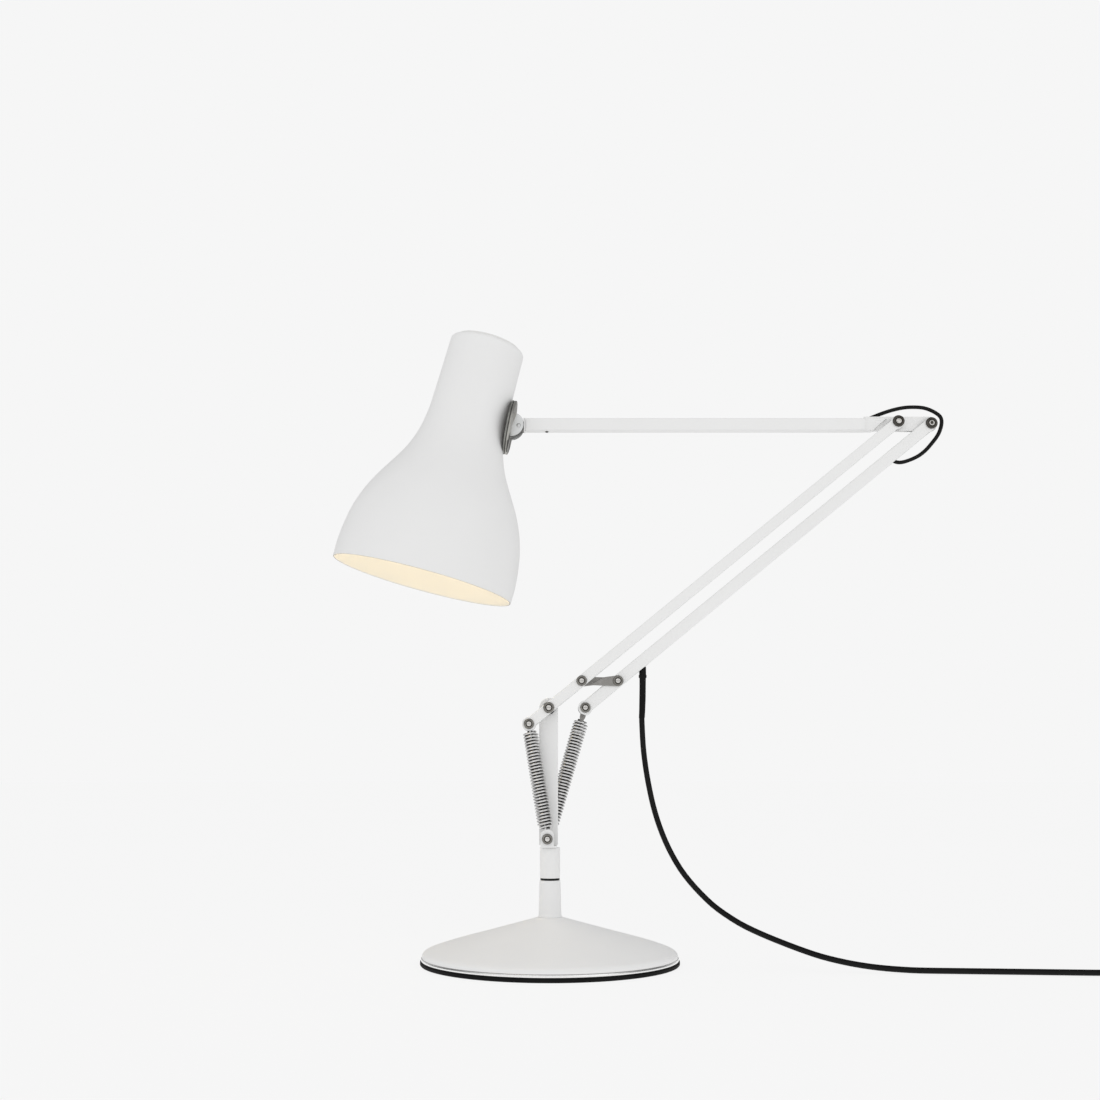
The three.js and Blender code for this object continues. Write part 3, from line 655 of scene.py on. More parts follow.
# ------------------------------------------------------------------ base
pad = lathe("base_pad_rubber", round_profile([(0, 0.5), (94.0, 0.5), (94.4, 0.0), (100.4, 0.0), (101.0, 0.7), (101.0, 2.4), (100.5, 3.1), (0, 3.1)], 0.3), 160)
place(pad, "base", RUBBER, "base_pad")
ring = lathe("base_trim_band", round_profile([(95.2, 3.15), (99.9, 3.15), (100.25, 3.6), (100.3, 4.5), (100.15, 5.3), (99.8, 5.7), (95.2, 5.7)], 0.25), 192)
place(ring, "base", RIM_STEEL, "base_trim_ring")
outer = [(99.6, 5.74)] + [tuple(p) for p in spline([(99.6, 6.1), (99.5, 7.1), (99.1, 8.1), (98.2, 9.1), (96.9, 9.95), (95.2, 10.7), (92.5, 11.75), (90, 12.6), (83, 14.85), (76, 16.9), (63, 20.45), (50, 23.9), (38, 27.2), (27.5, 30.1), (19, 32.45), (13.6, 34.0), (11.2, 34.75), (9.8, 35.2)], 3)]
inner = [(5.4, 35.2), (5.4, 33.8), (13, 32.8), (27.5, 28.8), (50, 22.5), (76, 15.3), (90, 11.2), (96.5, 8.9), (98.2, 5.74)]
cover = lathe("base_cover_cone", outer + inner, 192)
place(cover, "base", WHITE, "base_cover", smooth=50, weighted=False)
weight = lathe("base_weight_casting", round_profile([(5.4, 9.2), (5.4, 20.5), (14, 20.5), (16, 12.0), (86, 10.0), (88.5, 9.0), (88.5, 3.4), (11.5, 3.4), (11.5, 9.2)], 0.8), 96)
place(weight, "base", IRON, "base_weight")
spindle = lathe("spindle_shaft", round_profile([(0, 3.6), (10.6, 3.6), (10.6, 8.8), (5.0, 8.8), (5.0, 78.6), (4.4, 79.4), (0, 79.4)], 0.25), 64)
place(spindle, "base", STEEL, "spindle")


def hex_nut(name, r, bore, h0, h1, matrix):
    """A nut with chamfered corners. r is the corner radius."""
    prism = lathe(name, [(0, h0), (r, h0), (r, h1), (0, h1)], 6, matrix)
    c = 0.14 * r
    cone = lathe(name + "_c", [(0, h0 - 0.01), (r * 0.90, h0 - 0.01), (r + 0.02, h0 + c), (r + 0.02, h1 - c), (r * 0.90, h1 + 0.01), (0, h1 + 0.01)], 48, matrix)
    boolean(prism, [cone], "INTERSECT")
    hole = lathe(name + "_h", [(0, h0 - 1), (bore, h0 - 1), (bore, h1 + 1), (0, h1 + 1)], 40, matrix)
    boolean(prism, [hole])
    return prism


place(hex_nut("spindle_hex_nut", 9.4, 5.15, 20.9, 26.4, along_z()), "base", DARK_STEEL, "spindle_nut", weighted=False)
collar = lathe("base_collar_tube", round_profile([(5.4, 35.3), (9.5, 35.3, 0.1), (9.15, 36.2, 0.4), (8.85, 38.0, 0.8), (8.35, 61.8, 0.3), (7.9, 63.2, 0.3), (5.4, 63.2)], 0.25), 96)
place(collar, "base", WHITE, "base_collar")
washer = lathe("swivel_washer_disc", round_profile([(5.3, 63.4), (7.6, 63.4), (7.6, 64.7), (5.3, 64.7)], 0.2), 96)
place(washer, "base", BLACK_PLASTIC, "swivel_washer")

# ------------------------------------------------------------------ column
sleeve = lathe("stem_sleeve_tube", round_profile([(5.3, 64.9), (8.0, 64.9, 0.4), (8.0, 88.3, 0.5), (0, 88.3), (0, 79.8), (5.3, 79.8)], 0.25), 96)
boolean(sleeve, [rbox("c", -4.9, 2.7, -1.85, 1.85, 81.5, 92, 0)])
place(ease_edges(sleeve, 0.15, 60), "column", WHITE_BAR, "stem_sleeve", weighted=True)

PX, PR = (-8.6 + 6.4) / 2, 7.5
post_outline = [(-4.6, 82.0), (2.4, 82.0), (2.4, 90.3), (6.4, 90.3)] + [(PX + PR * math.cos(PI * i / 40), 198.2 + 7.9 * math.sin(PI * i / 40)) for i in range(41)] + [(-8.6, 90.3), (-4.6, 90.3)]
post = flat_piece("post_bar", post_outline, -1.6, 1.6, [(Q[0], Q[1], 2.3), (P[0], P[1], 2.9)], 0.45, steps=3)
place(post, "column", WHITE_BAR, "post")


def ear(name, y0, y1):
    pts = [(-7.4, 88.7), (3.0, 88.7)] + [(-2.2 + 5.2 * math.cos(PI * i / 24), 98.2 + 4.6 * math.sin(PI * i / 24)) for i in range(25)]
    return flat_piece(name, pts, y0, y1, [(Q[0], Q[1], 2.3)], 0.3)


foot_plate = rbox("spring_bracket_cup", -7.4, 5.4, -11.6, 11.6, 88.6, 90.0, 0.35)
boolean(foot_plate, [rbox("c", -4.9, 2.7, -1.85, 1.85, 80, 91, 0)])
boolean(foot_plate, [ear("e1", -11.6, -10.4), ear("e2", 10.4, 11.6)], "UNION")
place(foot_plate, "column", WHITE, "spring_bracket", smooth=35)


def bolt(name, node_name, body, c, head_r, y_head, y_seat, shaft_r, y_end, style, foot=None):
    """A turned fastener along Y with a dressed head at the front: 'ring' heads show a dark washer, a bright
    rolled centre and a dark groove; 'socket' heads show a small hexagon recess."""
    hub = head_r * 0.50
    prof = [(0, y_head + 0.25), (hub * 0.55, y_head + 0.12), (hub * 0.9, y_head + 0.35), (hub * 1.04, y_head + 0.75),
            (hub * 1.18, y_head + 0.78), (hub * 1.30, y_head + 0.25), (head_r * 0.80, y_head + 0.10), (head_r * 0.93, y_head + 0.35),
            (head_r, y_head + 0.80), (head_r, y_seat - 0.15), (head_r - 0.15, y_seat), (shaft_r, y_seat), (shaft_r, y_end - 0.35), (shaft_r - 0.35, y_end), (0, y_end)]
    if foot:
        fr, f0, f1 = foot
        prof = prof[:-3] + [(shaft_r, f0), (fr - 0.25, f0), (fr, f0 + 0.25), (fr, f1 - 0.3), (fr - 0.5, f1), (0, f1)]
    ob = lathe(name, prof, 56, along_y(c))
    if style == "socket":
        rec = lathe("c", [(0, y_head - 1), (hub * 0.62, y_head - 1), (hub * 0.62, y_head + 0.9), (0, y_head + 0.9)], 6, along_y(c))
        boolean(ob, [rec])
    # the centre of the head is polished, the rest is darkened
    cx, cz = c
    me = ob.data
    me.materials.append(None)
    me.materials.append(None)
    me.materials.append(None)
    for f in me.polygons:
        ctr = f.center
        d = math.hypot(ctr.x - cx, ctr.z - cz)
        top = ctr.y < y_head + 0.9
        if style == "socket":
            f.material_index = 1 if (d < hub * 0.80 and top) else 0
        else:
            f.material_index = 1 if (d < hub * 0.92 and top) else (2 if (d > hub * 1.42 and top) else 0)
    place(ob, body, [DARK_STEEL, BRIGHT_NICKEL, WASHER_STEEL], node_name, smooth=30)
    return ob


bolt("anchor_pin_bolt", "anchor_pin", "column", Q, 4.1, -13.6, -11.9, 2.0, 15.6, "ring")
place(hex_nut("anchor_pin_hex_nut", 3.9, 2.05, 11.9, 14.6, along_y(Q)), "column", DARK_STEEL, "anchor_pin_nut", weighted=False)
bolt("shoulder_pivot_bolt", "shoulder_bolt", "column", P, 4.3, -14.0, -12.4, 2.6, 5.4, "ring")
place(hex_nut("shoulder_hex_nut", 4.6, 2.65, 1.9, 5.2, along_y(P)), "column", DARK_STEEL, "shoulder_nut", weighted=False)


def spacer(name, node_name, body, c, r, bore, y0, y1):
    ob = lathe(name, round_profile([(bore, y0), (r, y0), (r, y1), (bore, y1)], 0.25), 56, along_y(c))
    place(ob, body, BLACK_PLASTIC, node_name)


spacer("shoulder_spacer_ring", "shoulder_spacer", "column", P, 5.0, 2.75, -4.0, -1.75)

# ------------------------------------------------------------------ lower arm
BF, BB = bar_frame(P), bar_frame(BL)


def disc_y(name, s, r, y0, y1, m, seg=64, ease=0.35):
    """Cylinder along Y at bar position s."""
    local = m @ frame_of((s, 0, 0), (1, 0, 0), (0, 0, -1), (0, 1, 0))
    return lathe(name, [(0, y0), (r - ease, y0), (r - ease * 0.3, y0 + ease * 0.3), (r, y0 + ease), (r, y1 - ease), (r - ease * 0.3, y1 - ease * 0.3), (r - ease, y1), (0, y1)] if ease else [(0, y0), (r, y0), (r, y1), (0, y1)], seg, local)


def tube_bar(name, s0, s1, half, y0, y1, corner, m):
    cy = (y0 + y1) / 2
    return prism_x(name, [(y, z) for y, z in rounded_rect((y1 - y0) / 2, half, corner, 5, cy, 0)], s0, s1, m)


A_H, A0, A1, WALL = 4.25, -12.2, -4.2, 1.2
bar_a = tube_bar("front_bar_tube", TAIL_S, ARM_LEN, A_H, A0, A1, 1.1, BF)
boolean(bar_a, [disc_y("c", TAIL_S, 5.5, A0, A1, BF), disc_y("c2", ARM_LEN, 5.2, A0, A1, BF)], "UNION")
boolean(bar_a, [tube_bar("c", TAIL_S - 20, ARM_LEN + 20, A_H - WALL, A0 + WALL, A1 - WALL, 0.5, BF)])
boolean(bar_a, [rbox("c", TAIL_S - 20, TAIL_S + 6.5, A0 + WALL, A1 - WALL, -12, 0, 0, matrix=BF),
                disc_y("h1", 0, 2.9, -15, 0, BF, 40, 0), disc_y("h2", ARM_LEN, 2.9, -15, 0, BF, 40, 0),
                disc_y("h3", TAIL_S, 2.3, -15, 0, BF, 40, 0), disc_y("h4", LINK_S, 2.3, -15, 0, BF, 40, 0)])
inv_a, inv_b = BF.inverted(), BB.inverted()
ease_edges(bar_a, 0.18, 60, 1)
# the tube's inside faces get the near-black painted shade, so its slots read dark
tint(bar_a, lambda c, n: 1 if (abs((inv_a @ c).z) < A_H - 0.9 and A0 + 0.9 < c.y < A1 - 0.9) else 0)
place(bar_a, "front_arm", [WHITE_BAR, PAINTED_SHADE_METAL], "front_bar", smooth=35)

bolt("front_spring_pin", "front_spring_rivet", "front_arm", T, 4.1, -13.9, -12.4, 2.0, -2.9, "ring", (3.0, -3.9, -2.9))
bolt("front_link_pin", "front_link_rivet", "front_arm", LA, 4.2, -13.9, -12.4, 2.0, 2.8, "ring", (3.2, 1.6, 2.8))
spacer("front_link_spacer_ring", "front_link_spacer", "front_arm", LA, 3.6, 2.05, -4.0, -1.5)
bolt("front_elbow_pivot_bolt", "front_elbow_bolt", "front_arm", EA, 4.8, -14.2, -12.4, 2.6, 5.4, "socket")
place(hex_nut("front_elbow_hex_nut", 4.6, 2.65, 1.9, 5.2, along_y(EA)), "front_arm", DARK_STEEL, "front_elbow_nut", weighted=False)
spacer("front_elbow_spacer_ring", "front_elbow_spacer", "front_arm", EA, 5.0, 2.75, -4.0, -1.75)

vl = math.hypot(*V)
vd = (V[0] / vl, V[1] / vl)
vn = (-vd[1], vd[0])


def lp(a, n):
    return (LA[0] + vd[0] * a + vn[0] * n, LA[1] + vd[1] * a + vn[1] * n)


link_pts = [lp(vl + 3.6 * math.cos(-PI / 2 + PI * i / 24), 3.6 * math.sin(-PI / 2 + PI * i / 24)) for i in range(25)]
link_pts += [lp(vl * 0.72, 3.15), lp(vl * 0.5, 3.0), lp(vl * 0.28, 3.15)]
link_pts += [lp(4.0 * math.cos(PI / 2 + PI * i / 24), 4.0 * math.sin(PI / 2 + PI * i / 24)) for i in range(25)]
link_pts += [lp(vl * 0.28, -3.15), lp(vl * 0.5, -3.0), lp(vl * 0.72, -3.15)]
def slant(a, n):
    return lp(a + 2.014 * n, n)


link_near = [slant(15.6, 3.1)] + [lp(4.0 * math.cos(PI / 2 + PI * i / 24), 4.0 * math.sin(PI / 2 + PI * i / 24)) for i in range(25)] + [slant(15.6, -3.1)]
link_step = [slant(12.5, 3.1), slant(12.5, -3.1), slant(15.6, -3.1), slant(15.6, 3.1)]
link_far = [slant(12.5, -3.15)] + [lp(vl + 4.35 * math.cos(-PI / 2 + PI * i / 24), 4.35 * math.sin(-PI / 2 + PI * i / 24)) for i in range(25)] + [slant(12.5, 3.15)]
link = flat_piece("parallel_link_bar", link_near, -1.3, 0.3, [(LA[0], LA[1], 2.3)], 0.3, steps=2)
boolean(link, [flat_piece("c", link_step, -5.7, 0.2, bevel=0.2), flat_piece("c2", link_far, -5.85, -4.75, [(LB[0], LB[1], 2.3)], 0.3)], "UNION")
place(link, "link", LINK_STEEL, "parallel_link")

B_H, B0, B1 = 4.85, -4.6, 4.6
bar_b = tube_bar("rear_bar_tube", 0, ARM_LEN, B_H, B0, B1, 1.1, BB)
boolean(bar_b, [disc_y("c", 0, 5.8, B0, B1, BB), disc_y("c2", ARM_LEN, 5.2, B0, B1, BB)], "UNION")
boolean(bar_b, [tube_bar("c", -1, ARM_LEN + 20, B_H - WALL, B0 + WALL, B1 - WALL, 0.5, BB)])
lead_hole = at(BL, 55.4, -B_H)
boolean(bar_b, [rbox("c1", LINK_S - 28, LINK_S + 6, -1.8, 1.8, 0, 12, 0, matrix=BB),
                rbox("c2", ARM_LEN - 34, ARM_LEN + 20, -2.1, 2.1, 0, 12, 0, matrix=BB),
                rbox("c3", ARM_LEN - 9, ARM_LEN + 20, B0 + WALL, B1 - WALL, -12, 12, 0, matrix=BB),
                rod("c4", 3.1, lead_hole[1] - 6, lead_hole[1] + 3.5, along_z(lead_hole[0] + 0.5, 0, 0), 40),
                rbox("c6", 50.0, 62.0, -3.2, 3.2, -12, -1, 0, matrix=BB),
                rbox("c5", 322, 331, -2.1, 2.1, -12, 0, 0, matrix=BB),
                disc_y("h1", 0, 2.3, -8, 8, BB, 40, 0), disc_y("h2", LINK_S, 2.3, -8, 8, BB, 40, 0), disc_y("h3", ARM_LEN, 2.9, -8, 8, BB, 40, 0)])
ease_edges(bar_b, 0.18, 60, 1)
# the tube's inside faces get the near-black painted shade, so its slots read dark
tint(bar_b, lambda c, n: 1 if (abs((inv_b @ c).z) < B_H - 0.9 and B0 + 0.9 < c.y < B1 - 0.9) else 0)
place(bar_b, "rear_arm", [WHITE_BAR, PAINTED_SHADE_METAL], "rear_bar", smooth=35)

bolt("rear_spring_pivot_bolt", "rear_spring_bolt", "rear_arm", BL, 4.1, -6.3, -4.8, 2.0, 11.4, "ring")
place(hex_nut("rear_spring_hex_nut", 3.8, 2.05, 9.2, 11.2, along_y(BL)), "rear_arm", DARK_STEEL, "rear_spring_nut", weighted=False)
bolt("rear_link_pin", "rear_link_rivet", "rear_arm", LB, 4.2, -7.3, -5.9, 2.0, 5.9, "ring", (3.2, 4.9, 5.9))
bolt("rear_elbow_pivot_bolt", "rear_elbow_bolt", "rear_arm", EB, 4.8, -6.6, -4.8, 2.6, 8.0, "socket")
place(hex_nut("rear_elbow_hex_nut", 4.6, 2.65, 4.9, 7.8, along_y(EB)), "rear_arm", DARK_STEEL, "rear_elbow_nut", weighted=False)
rb = [(at(BL, s)[0], 0.25 * math.sin(s * 0.05), at(BL, s)[1]) for s in np.linspace(62, 318, 70)]
place(sweep("rear_bar_inner_cable", rb, 1.6, 12), "rear_arm", CABLE, "rear_bar_cable", weighted=False)

# ------------------------------------------------------------------ upper arm
arm = prism_x("upper_arm_square_tube", rounded_rect(5.0, 5.25, 1.2, 5, 0, ARM_Z), -20.0, 262.0)
boolean(arm, [prism_x("c", rounded_rect(4.0, 4.25, 0.5, 4, 0, ARM_Z), -22, 264)])
boolean(arm, [rbox("c", 244, 264, 1.7, 6, ARM_Z - 1, ARM_Z + 8, 0), rod("c2", 1.5, ARM_Z - 8, ARM_Z - 2, along_z(-2.6, 0, 0), 32)])
place(ease_edges(arm, 0.15, 60, 1), "upper_arm", WHITE_BAR, "upper_arm_tube", smooth=35)
tail_pts = [(236, ARM_Z - 3.9), (262.4, ARM_Z - 3.9), (262.4, 427.4), (EB[0] - 1, 427.2)]
tail_pts += [(EB[0] + 5.6 * math.cos(-PI / 2 + PI * i / 32), EB[1] + (6.0 if i < 16 else 6.4) * math.sin(-PI / 2 + PI * i / 32)) for i in range(33)]
tail_pts += [(262.4, 440.0), (262.4, ARM_Z + 3.9), (236, ARM_Z + 3.9)]
tail_plate = flat_piece("arm_tail_blade", tail_pts, -1.5, 1.5, [(EA[0], EA[1], 2.9), (EB[0], EB[1], 2.9)], 0.35, steps=3)
box_end = flat_piece("c", [(236, ARM_Z - 3.9), (262.1, ARM_Z - 3.9), (262.1, 427.45), (268.5, 427.45), (280.5, 437.8), (262.1, 437.8), (262.1, ARM_Z + 3.9), (236, ARM_Z + 3.9)], -3.85, 3.85, bevel=0.25)
boolean(box_end, [rbox("c", 230, 266, 1.5, 6, 436.0, 439, 0)])
boolean(tail_plate, [box_end], "UNION")
# the slanted end face of the tail box gets the darkened white as painted shade
tint(tail_plate, lambda c, n: 1 if (262.5 < c.x < 284 and n.x > 0.45 and n.z < -0.4 and abs(c.y) > 1.6) else 0)
place(tail_plate, "upper_arm", [WHITE_BAR, SHADED_WHITE], "arm_tail_plate", smooth=35)
plug_end = rbox("arm_end_plug_cap", -22.0, -20.3, -5.1, 5.1, ARM_Z - 5.35, ARM_Z + 5.35, 0.5, 3)
tongue = [(-26.2, 427.4), (-21.0, 427.4), (-21.0, 434.6), (-26.2, 434.6)] + [(HP[0] + 3.6 * math.cos(PI / 2 + PI * i / 24), HP[1] + 3.6 * math.sin(PI / 2 + PI * i / 24)) for i in range(1, 24)]
boolean(plug_end, [rbox("c", -20.5, -7.5, -3.7, 3.7, ARM_Z - 3.95, ARM_Z + 3.95, 0.4), flat_piece("c2", tongue, -4.8, 4.8, bevel=0.4)], "UNION")
boolean(plug_end, [rod("c", 1.8, -8, 8, along_y(HP), 40), rod("c2", 1.2, ARM_Z - 8, ARM_Z, along_z(-2.6, 0, 0), 32)])
tint(plug_end, lambda c, n: 1 if c.x < -22.1 else 0)
place(plug_end, "upper_arm", [WHITE_BAR, DARK_STEEL], "arm_end_plug", smooth=35)
grub = rod("plug_grub_screw_fine", 1.2, ARM_Z - 6.0, ARM_Z - 4.25, along_z(-2.6, 0, 0), 32, 0.15)
boolean(grub, [lathe("c", [(0, ARM_Z - 7), (0.6, ARM_Z - 7), (0.6, ARM_Z - 5.1), (0, ARM_Z - 5.1)], 6, along_z(-2.6, 0, 0))])
place(grub, "upper_arm", DARK_STEEL, "plug_grub_screw", weighted=False)
ub = [(x, 0.2 * math.sin(x * 0.06), ARM_Z) for x in np.linspace(-6, 234, 64)]
place(sweep("upper_arm_inner_cable", ub, 1.6, 12), "upper_arm", CABLE, "upper_arm_cable", weighted=False)

# ------------------------------------------------------------------ knuckle
plate_o = lathe("neck_plate_disc", [(0, 34.4), (22.5, 34.4), (22.8, 34.7), (22.8, 35.7), (22.5, 36.0), (0, 36.0)], 96, HEAD_X)
shade_clear = [(0, -1), (75.4, -1), (75.7, 12), (75.1, 22), (73.9, 32), (72.2, 42), (69.4, 52), (65.7, 62), (61.0, 72), (55.3, 82), (49.3, 92), (43.8, 102), (39.6, 112), (36.5, 122), (34.7, 132), (33.5, 142), (33.1, 152), (32.6, 172), (32.1, 206), (0, 206)]
boolean(plate_o, [lathe("c", shade_clear, 128, HEAD), rod("c2", 3.3, 20, 45, HEAD_X, 40)])
# the neck plate's dark metal is partly a painted shadow line against the lampshade
place(plate_o, "shade_head", DARK_PLATE_AND_SHADE, "neck_plate", smooth=30, weighted=True)


def head_local(p):
    dx, dz = p[0] - MOUTH[0], p[1] - MOUTH[1]
    c, s = math.cos(TILT), math.sin(TILT)
    return (dx * c - dz * s, dx * s + dz * c)


D0 = head_local((-32.2, 432.0))
HL = head_local(HP)
bracket = lathe("knuckle_bracket_disc", [(0, 36.4), (22.4, 36.4), (22.8, 36.8), (22.8, 37.7), (22.5, 38.2), (21.9, 38.4), (0, 38.4)], 96, HEAD_X)


def cheek(name, y0, y1):
    a0 = math.acos((37.4 - D0[0]) / 10.3)
    pts = [(D0[0] + 10.3 * math.cos(-a0 + 2 * a0 * i / 32), D0[1] + 10.3 * math.sin(-a0 + 2 * a0 * i / 32)) for i in range(33)]
    return flat_piece(name, pts, y0, y1, [(HL[0], HL[1], 1.55)], 0.3, HEAD, 3)


boolean(bracket, [cheek("c1", 5.4, 7.0), cheek("c2", -7.0, -5.4)], "UNION")
boolean(bracket, [rod("c", 3.3, 20, 45, HEAD_X, 40)])
# cheek front faces get the lighter copy as painted light, cheek rims the near-black painted shade, the rest the mid
# knuckle metal
tint(bracket, lambda c, n: 1 if (abs(c.y) > 4.9 and abs(n.y) > 0.8 and (HEAD.inverted() @ c).x > 38.5) else (2 if (abs(c.y) > 4.9 and (HEAD.inverted() @ c).x > 38.9) else 0))
place(bracket, "knuckle", [MID_PLATE, KNUCKLE_PAINTED_LIGHT, PAINTED_SHADE_METAL], "knuckle_bracket", smooth=30)
stud = lathe("swivel_stud_rivet", [(0, 27.8), (2.6, 27.8), (3.0, 28.2), (3.0, 38.5), (2.4, 38.8), (0, 38.9)], 40, HEAD_X)
place(stud, "knuckle", STEEL, "swivel_stud")
place(hex_nut("swivel_hex_nut", 5.6, 3.1, 28.1, 31.0, HEAD_X), "shade_head", DARK_STEEL, "swivel_nut", weighted=False)
pin_head = [(0, -7.01), (1.35, -7.01), (1.5, -6.9), (1.5, 6.9), (1.35, 7.01), (0, 7.01)]
place(lathe("knuckle_hinge_pin", pin_head, 40, along_y(HP)), "knuckle", KNUCKLE_PAINTED_LIGHT, "knuckle_pin")

# ------------------------------------------------------------------ shade head
s_out = [(74.75, 0.15)] + [tuple(p) for p in spline([(74.95, 0.6), (75.1, 6), (75.2, 12), (74.6, 22), (73.4, 32), (71.7, 42), (68.9, 52), (65.2, 62), (60.5, 72), (54.8, 82), (48.8, 92), (43.3, 102), (39.1, 112), (36.0, 122), (34.2, 132), (33.0, 142), (32.6, 152), (32.1, 172), (31.7, 192), (31.5, 203.5), (31.15, 205.4), (30.3, 206.6), (29.0, 207.0)], 3)]
s_in = [(22.0, 207.0), (22.0, 206.0), (29.4, 206.0)] + [tuple(p) for p in spline([(30.4, 204.5), (30.7, 192), (31.1, 172), (31.6, 152), (32.0, 142), (33.2, 132), (35.0, 122), (38.1, 112), (42.3, 102), (47.8, 92), (53.8, 82), (59.5, 72), (64.2, 62), (67.9, 52), (70.7, 42), (72.4, 32), (73.6, 22), (74.2, 12), (74.1, 6), (73.95, 0.6)], 3)] + [(74.1, 0.15), (74.4, 0.0)]
shade = lathe("shade_shell", s_out + s_in, 192, HEAD)
inner_from = len(s_out) + 1
hole = rod("c", 3.3, 20, 45, HEAD_X, 40)
inv = HEAD.inverted()
boolean(shade, [hole])
for _ in range(3):
    shade.data.materials.append(None)
# inside faces get the warm painted bulb light; the mouth's edge gets the painted shade line
for f in shade.data.polygons:
    c = inv @ f.center
    nrm = (inv.to_3x3() @ f.normal)
    radial = Vector((c.x, c.y, 0))
    inside = c.z < 206.4 and radial.length > 1 and nrm.dot(radial.normalized()) < -0.2
    rim = c.z < 0.35
    f.material_index = 2 if rim else (1 if inside else 0)
place(shade, "shade_head", [WHITE, WHITE_IN_PAINTED_GLOW, RIM_PAINTED_SHADE], "shade", smooth=50, weighted=False)
cap_prof = round_profile([(5.3, 207.4), (27.6, 207.4), (27.6, 208.2), (26.4, 209.4, 0.6), (7.4, 209.4, 0.5), (7.0, 211.4, 0.5), (5.3, 211.4)], 0.3)
place(lathe("shade_cap_disc", cap_prof, 96, HEAD), "shade_head", WHITE_PLASTIC, "shade_cap")
btn = round_profile([(0, 209.6), (4.9, 209.6), (4.9, 213.9, 0.9), (3.4, 214.7, 1.0), (0, 214.45)], 0.2)
place(lathe("switch_button_cap", btn, 64, HEAD), "switch", BLACK_PLASTIC, "switch_button")
holder = round_profile([(0, 207.1), (17.0, 207.1), (17.0, 204), (17.6, 203), (17.9, 190), (17.2, 189), (17.2, 186.5), (17.9, 185.5), (18.0, 157.5), (20.6, 157.5), (20.6, 152), (18.0, 152), (18.0, 150.2), (14.6, 150.2), (14.2, 178), (0, 178)], 0.3)
holder_ob = lathe("lampholder_body", holder, 72, HEAD)
boolean(holder_ob, [rbox("n%d" % i, 19.9, 22, -0.9, 0.9, 151, 158.5, 0, matrix=HEAD @ Matrix.Rotation(2 * PI * i / 16, 4, "Z")) for i in range(16)])
place(holder_ob, "shade_head", CERAMIC, "lampholder", weighted=False)
bulb_out = [tuple(p) for p in spline([(0, 68.0), (5, 68.4), (9, 69.4), (14, 71.6), (18, 74.2), (22.2, 77.9), (25.6, 82.2), (28.3, 87.6), (29.7, 93), (30, 98), (29.5, 104), (28, 110), (25.3, 116), (22.0, 122), (18.8, 128), (16.4, 134), (14.6, 141), (13.6, 147), (13.2, 151)], 3)]
thread = []
for i in range(7):
    h = 153 + i * 3.4
    thread += [(13.1, h), (12.5, h + 0.85), (12.35, h + 1.7), (12.5, h + 2.55)]
bulb = lathe("bulb_globe", bulb_out + thread + [(12.4, 176.6), (6, 177.5), (0, 177.5)], 96, HEAD)
bulb.data.materials.append(None)
bulb.data.materials.append(None)
for f in bulb.data.polygons:
    f.material_index = 1 if (inv @ f.center).z > 151.5 else 0
place(bulb, "shade_head", [BULB, STEEL], "bulb", smooth=60, weighted=False)

# ------------------------------------------------------------------ springs
WIRE = 0.86
SPRING_R = 6.2


def spring_frame(to, y):
    dx, dz = to[0] - Q[0], to[1] - Q[1]
    ln = math.hypot(dx, dz)
    d = (dx / ln, 0, dz / ln)
    return frame_of((Q[0], y, Q[1]), (d[2], 0, -d[0]), (0, 1, 0), d), ln


def helix(z0, z1, pitch, r, taper0=0.0, taper1=0.0, start=0.0, per=22, end_r=3.0):
    turns = (z1 - z0) / pitch
    n = int(turns * per)
    pts = []
    for i in range(n + 1):
        f = i / n
        z = z0 + (z1 - z0) * f
        rr = r
        if taper0 and z < z0 + taper0:
            k = (z - z0) / taper0
            rr = end_r + (r - end_r) * math.sin(k * PI / 2)
        if taper1 and z > z1 - taper1:
            k = (z1 - z) / taper1
            rr = end_r + (r - end_r) * math.sin(k * PI / 2)
        a = start + 2 * PI * turns * f
        pts.append((rr * math.cos(a), rr * math.sin(a), z))
    return pts


def wire_loop(zc, r, direction, wire, reach):
    """A hook: from the spring's centre line round the pin and almost back."""
    pts = []
    for k in range(8):
        pts.append((0.0, 0.0, zc + direction * (reach - (reach - r) * k / 8)))
    for k in range(34):
        a = 1.72 * PI * k / 33
        pts.append((r * math.sin(a), 0.0, zc + direction * r * math.cos(a)))
    return pts


RC = SPRING_R - WIRE


def paint_coil_shade(ob, m):
    """Paints shade on the side of the wire that faces the coil's inside and its neighbours: those faces get the
    near-black painted shade material.
    """
    inv_m = m.inverted()

    def pick(c, n):
        lc, ln = inv_m @ c, inv_m.to_3x3() @ n
        radial = Vector((lc.x, lc.y, 0)).normalized()
        return 1 if ln.dot(radial) < 0.22 else 0

    tint(ob, pick)


FM, FL = spring_frame(T, -8.25)
front_coil = sweep("front_spring_coil", helix(8.2, FL - 5.9, 2.45, RC, 4.5, 2.6, 0.4), WIRE, 12, FM)
paint_coil_shade(front_coil, FM)
f0, f1 = FM @ Vector((0, 0, 9)), FM @ Vector((0, 0, FL - 7))
place(front_coil, None, [CHROME, PAINTED_SHADE_METAL], "front_spring", smooth=80, weighted=False,
      blend=("front_spring_lower", "front_spring_upper", f0 / 1000, f1 / 1000))
place(sweep("front_spring_foot_hook", wire_loop(0, 3.05, 1, 0.8, 12.5), 0.8, 12, FM), "front_spring_lower", CHROME, "front_spring_foot", smooth=80, weighted=False)
place(sweep("front_spring_top_hook_wire", wire_loop(FL, 2.85, -1, 0.75, 13), 0.72, 12, FM), "front_spring_hook", CHROME, "front_spring_hanger", smooth=80, weighted=False)

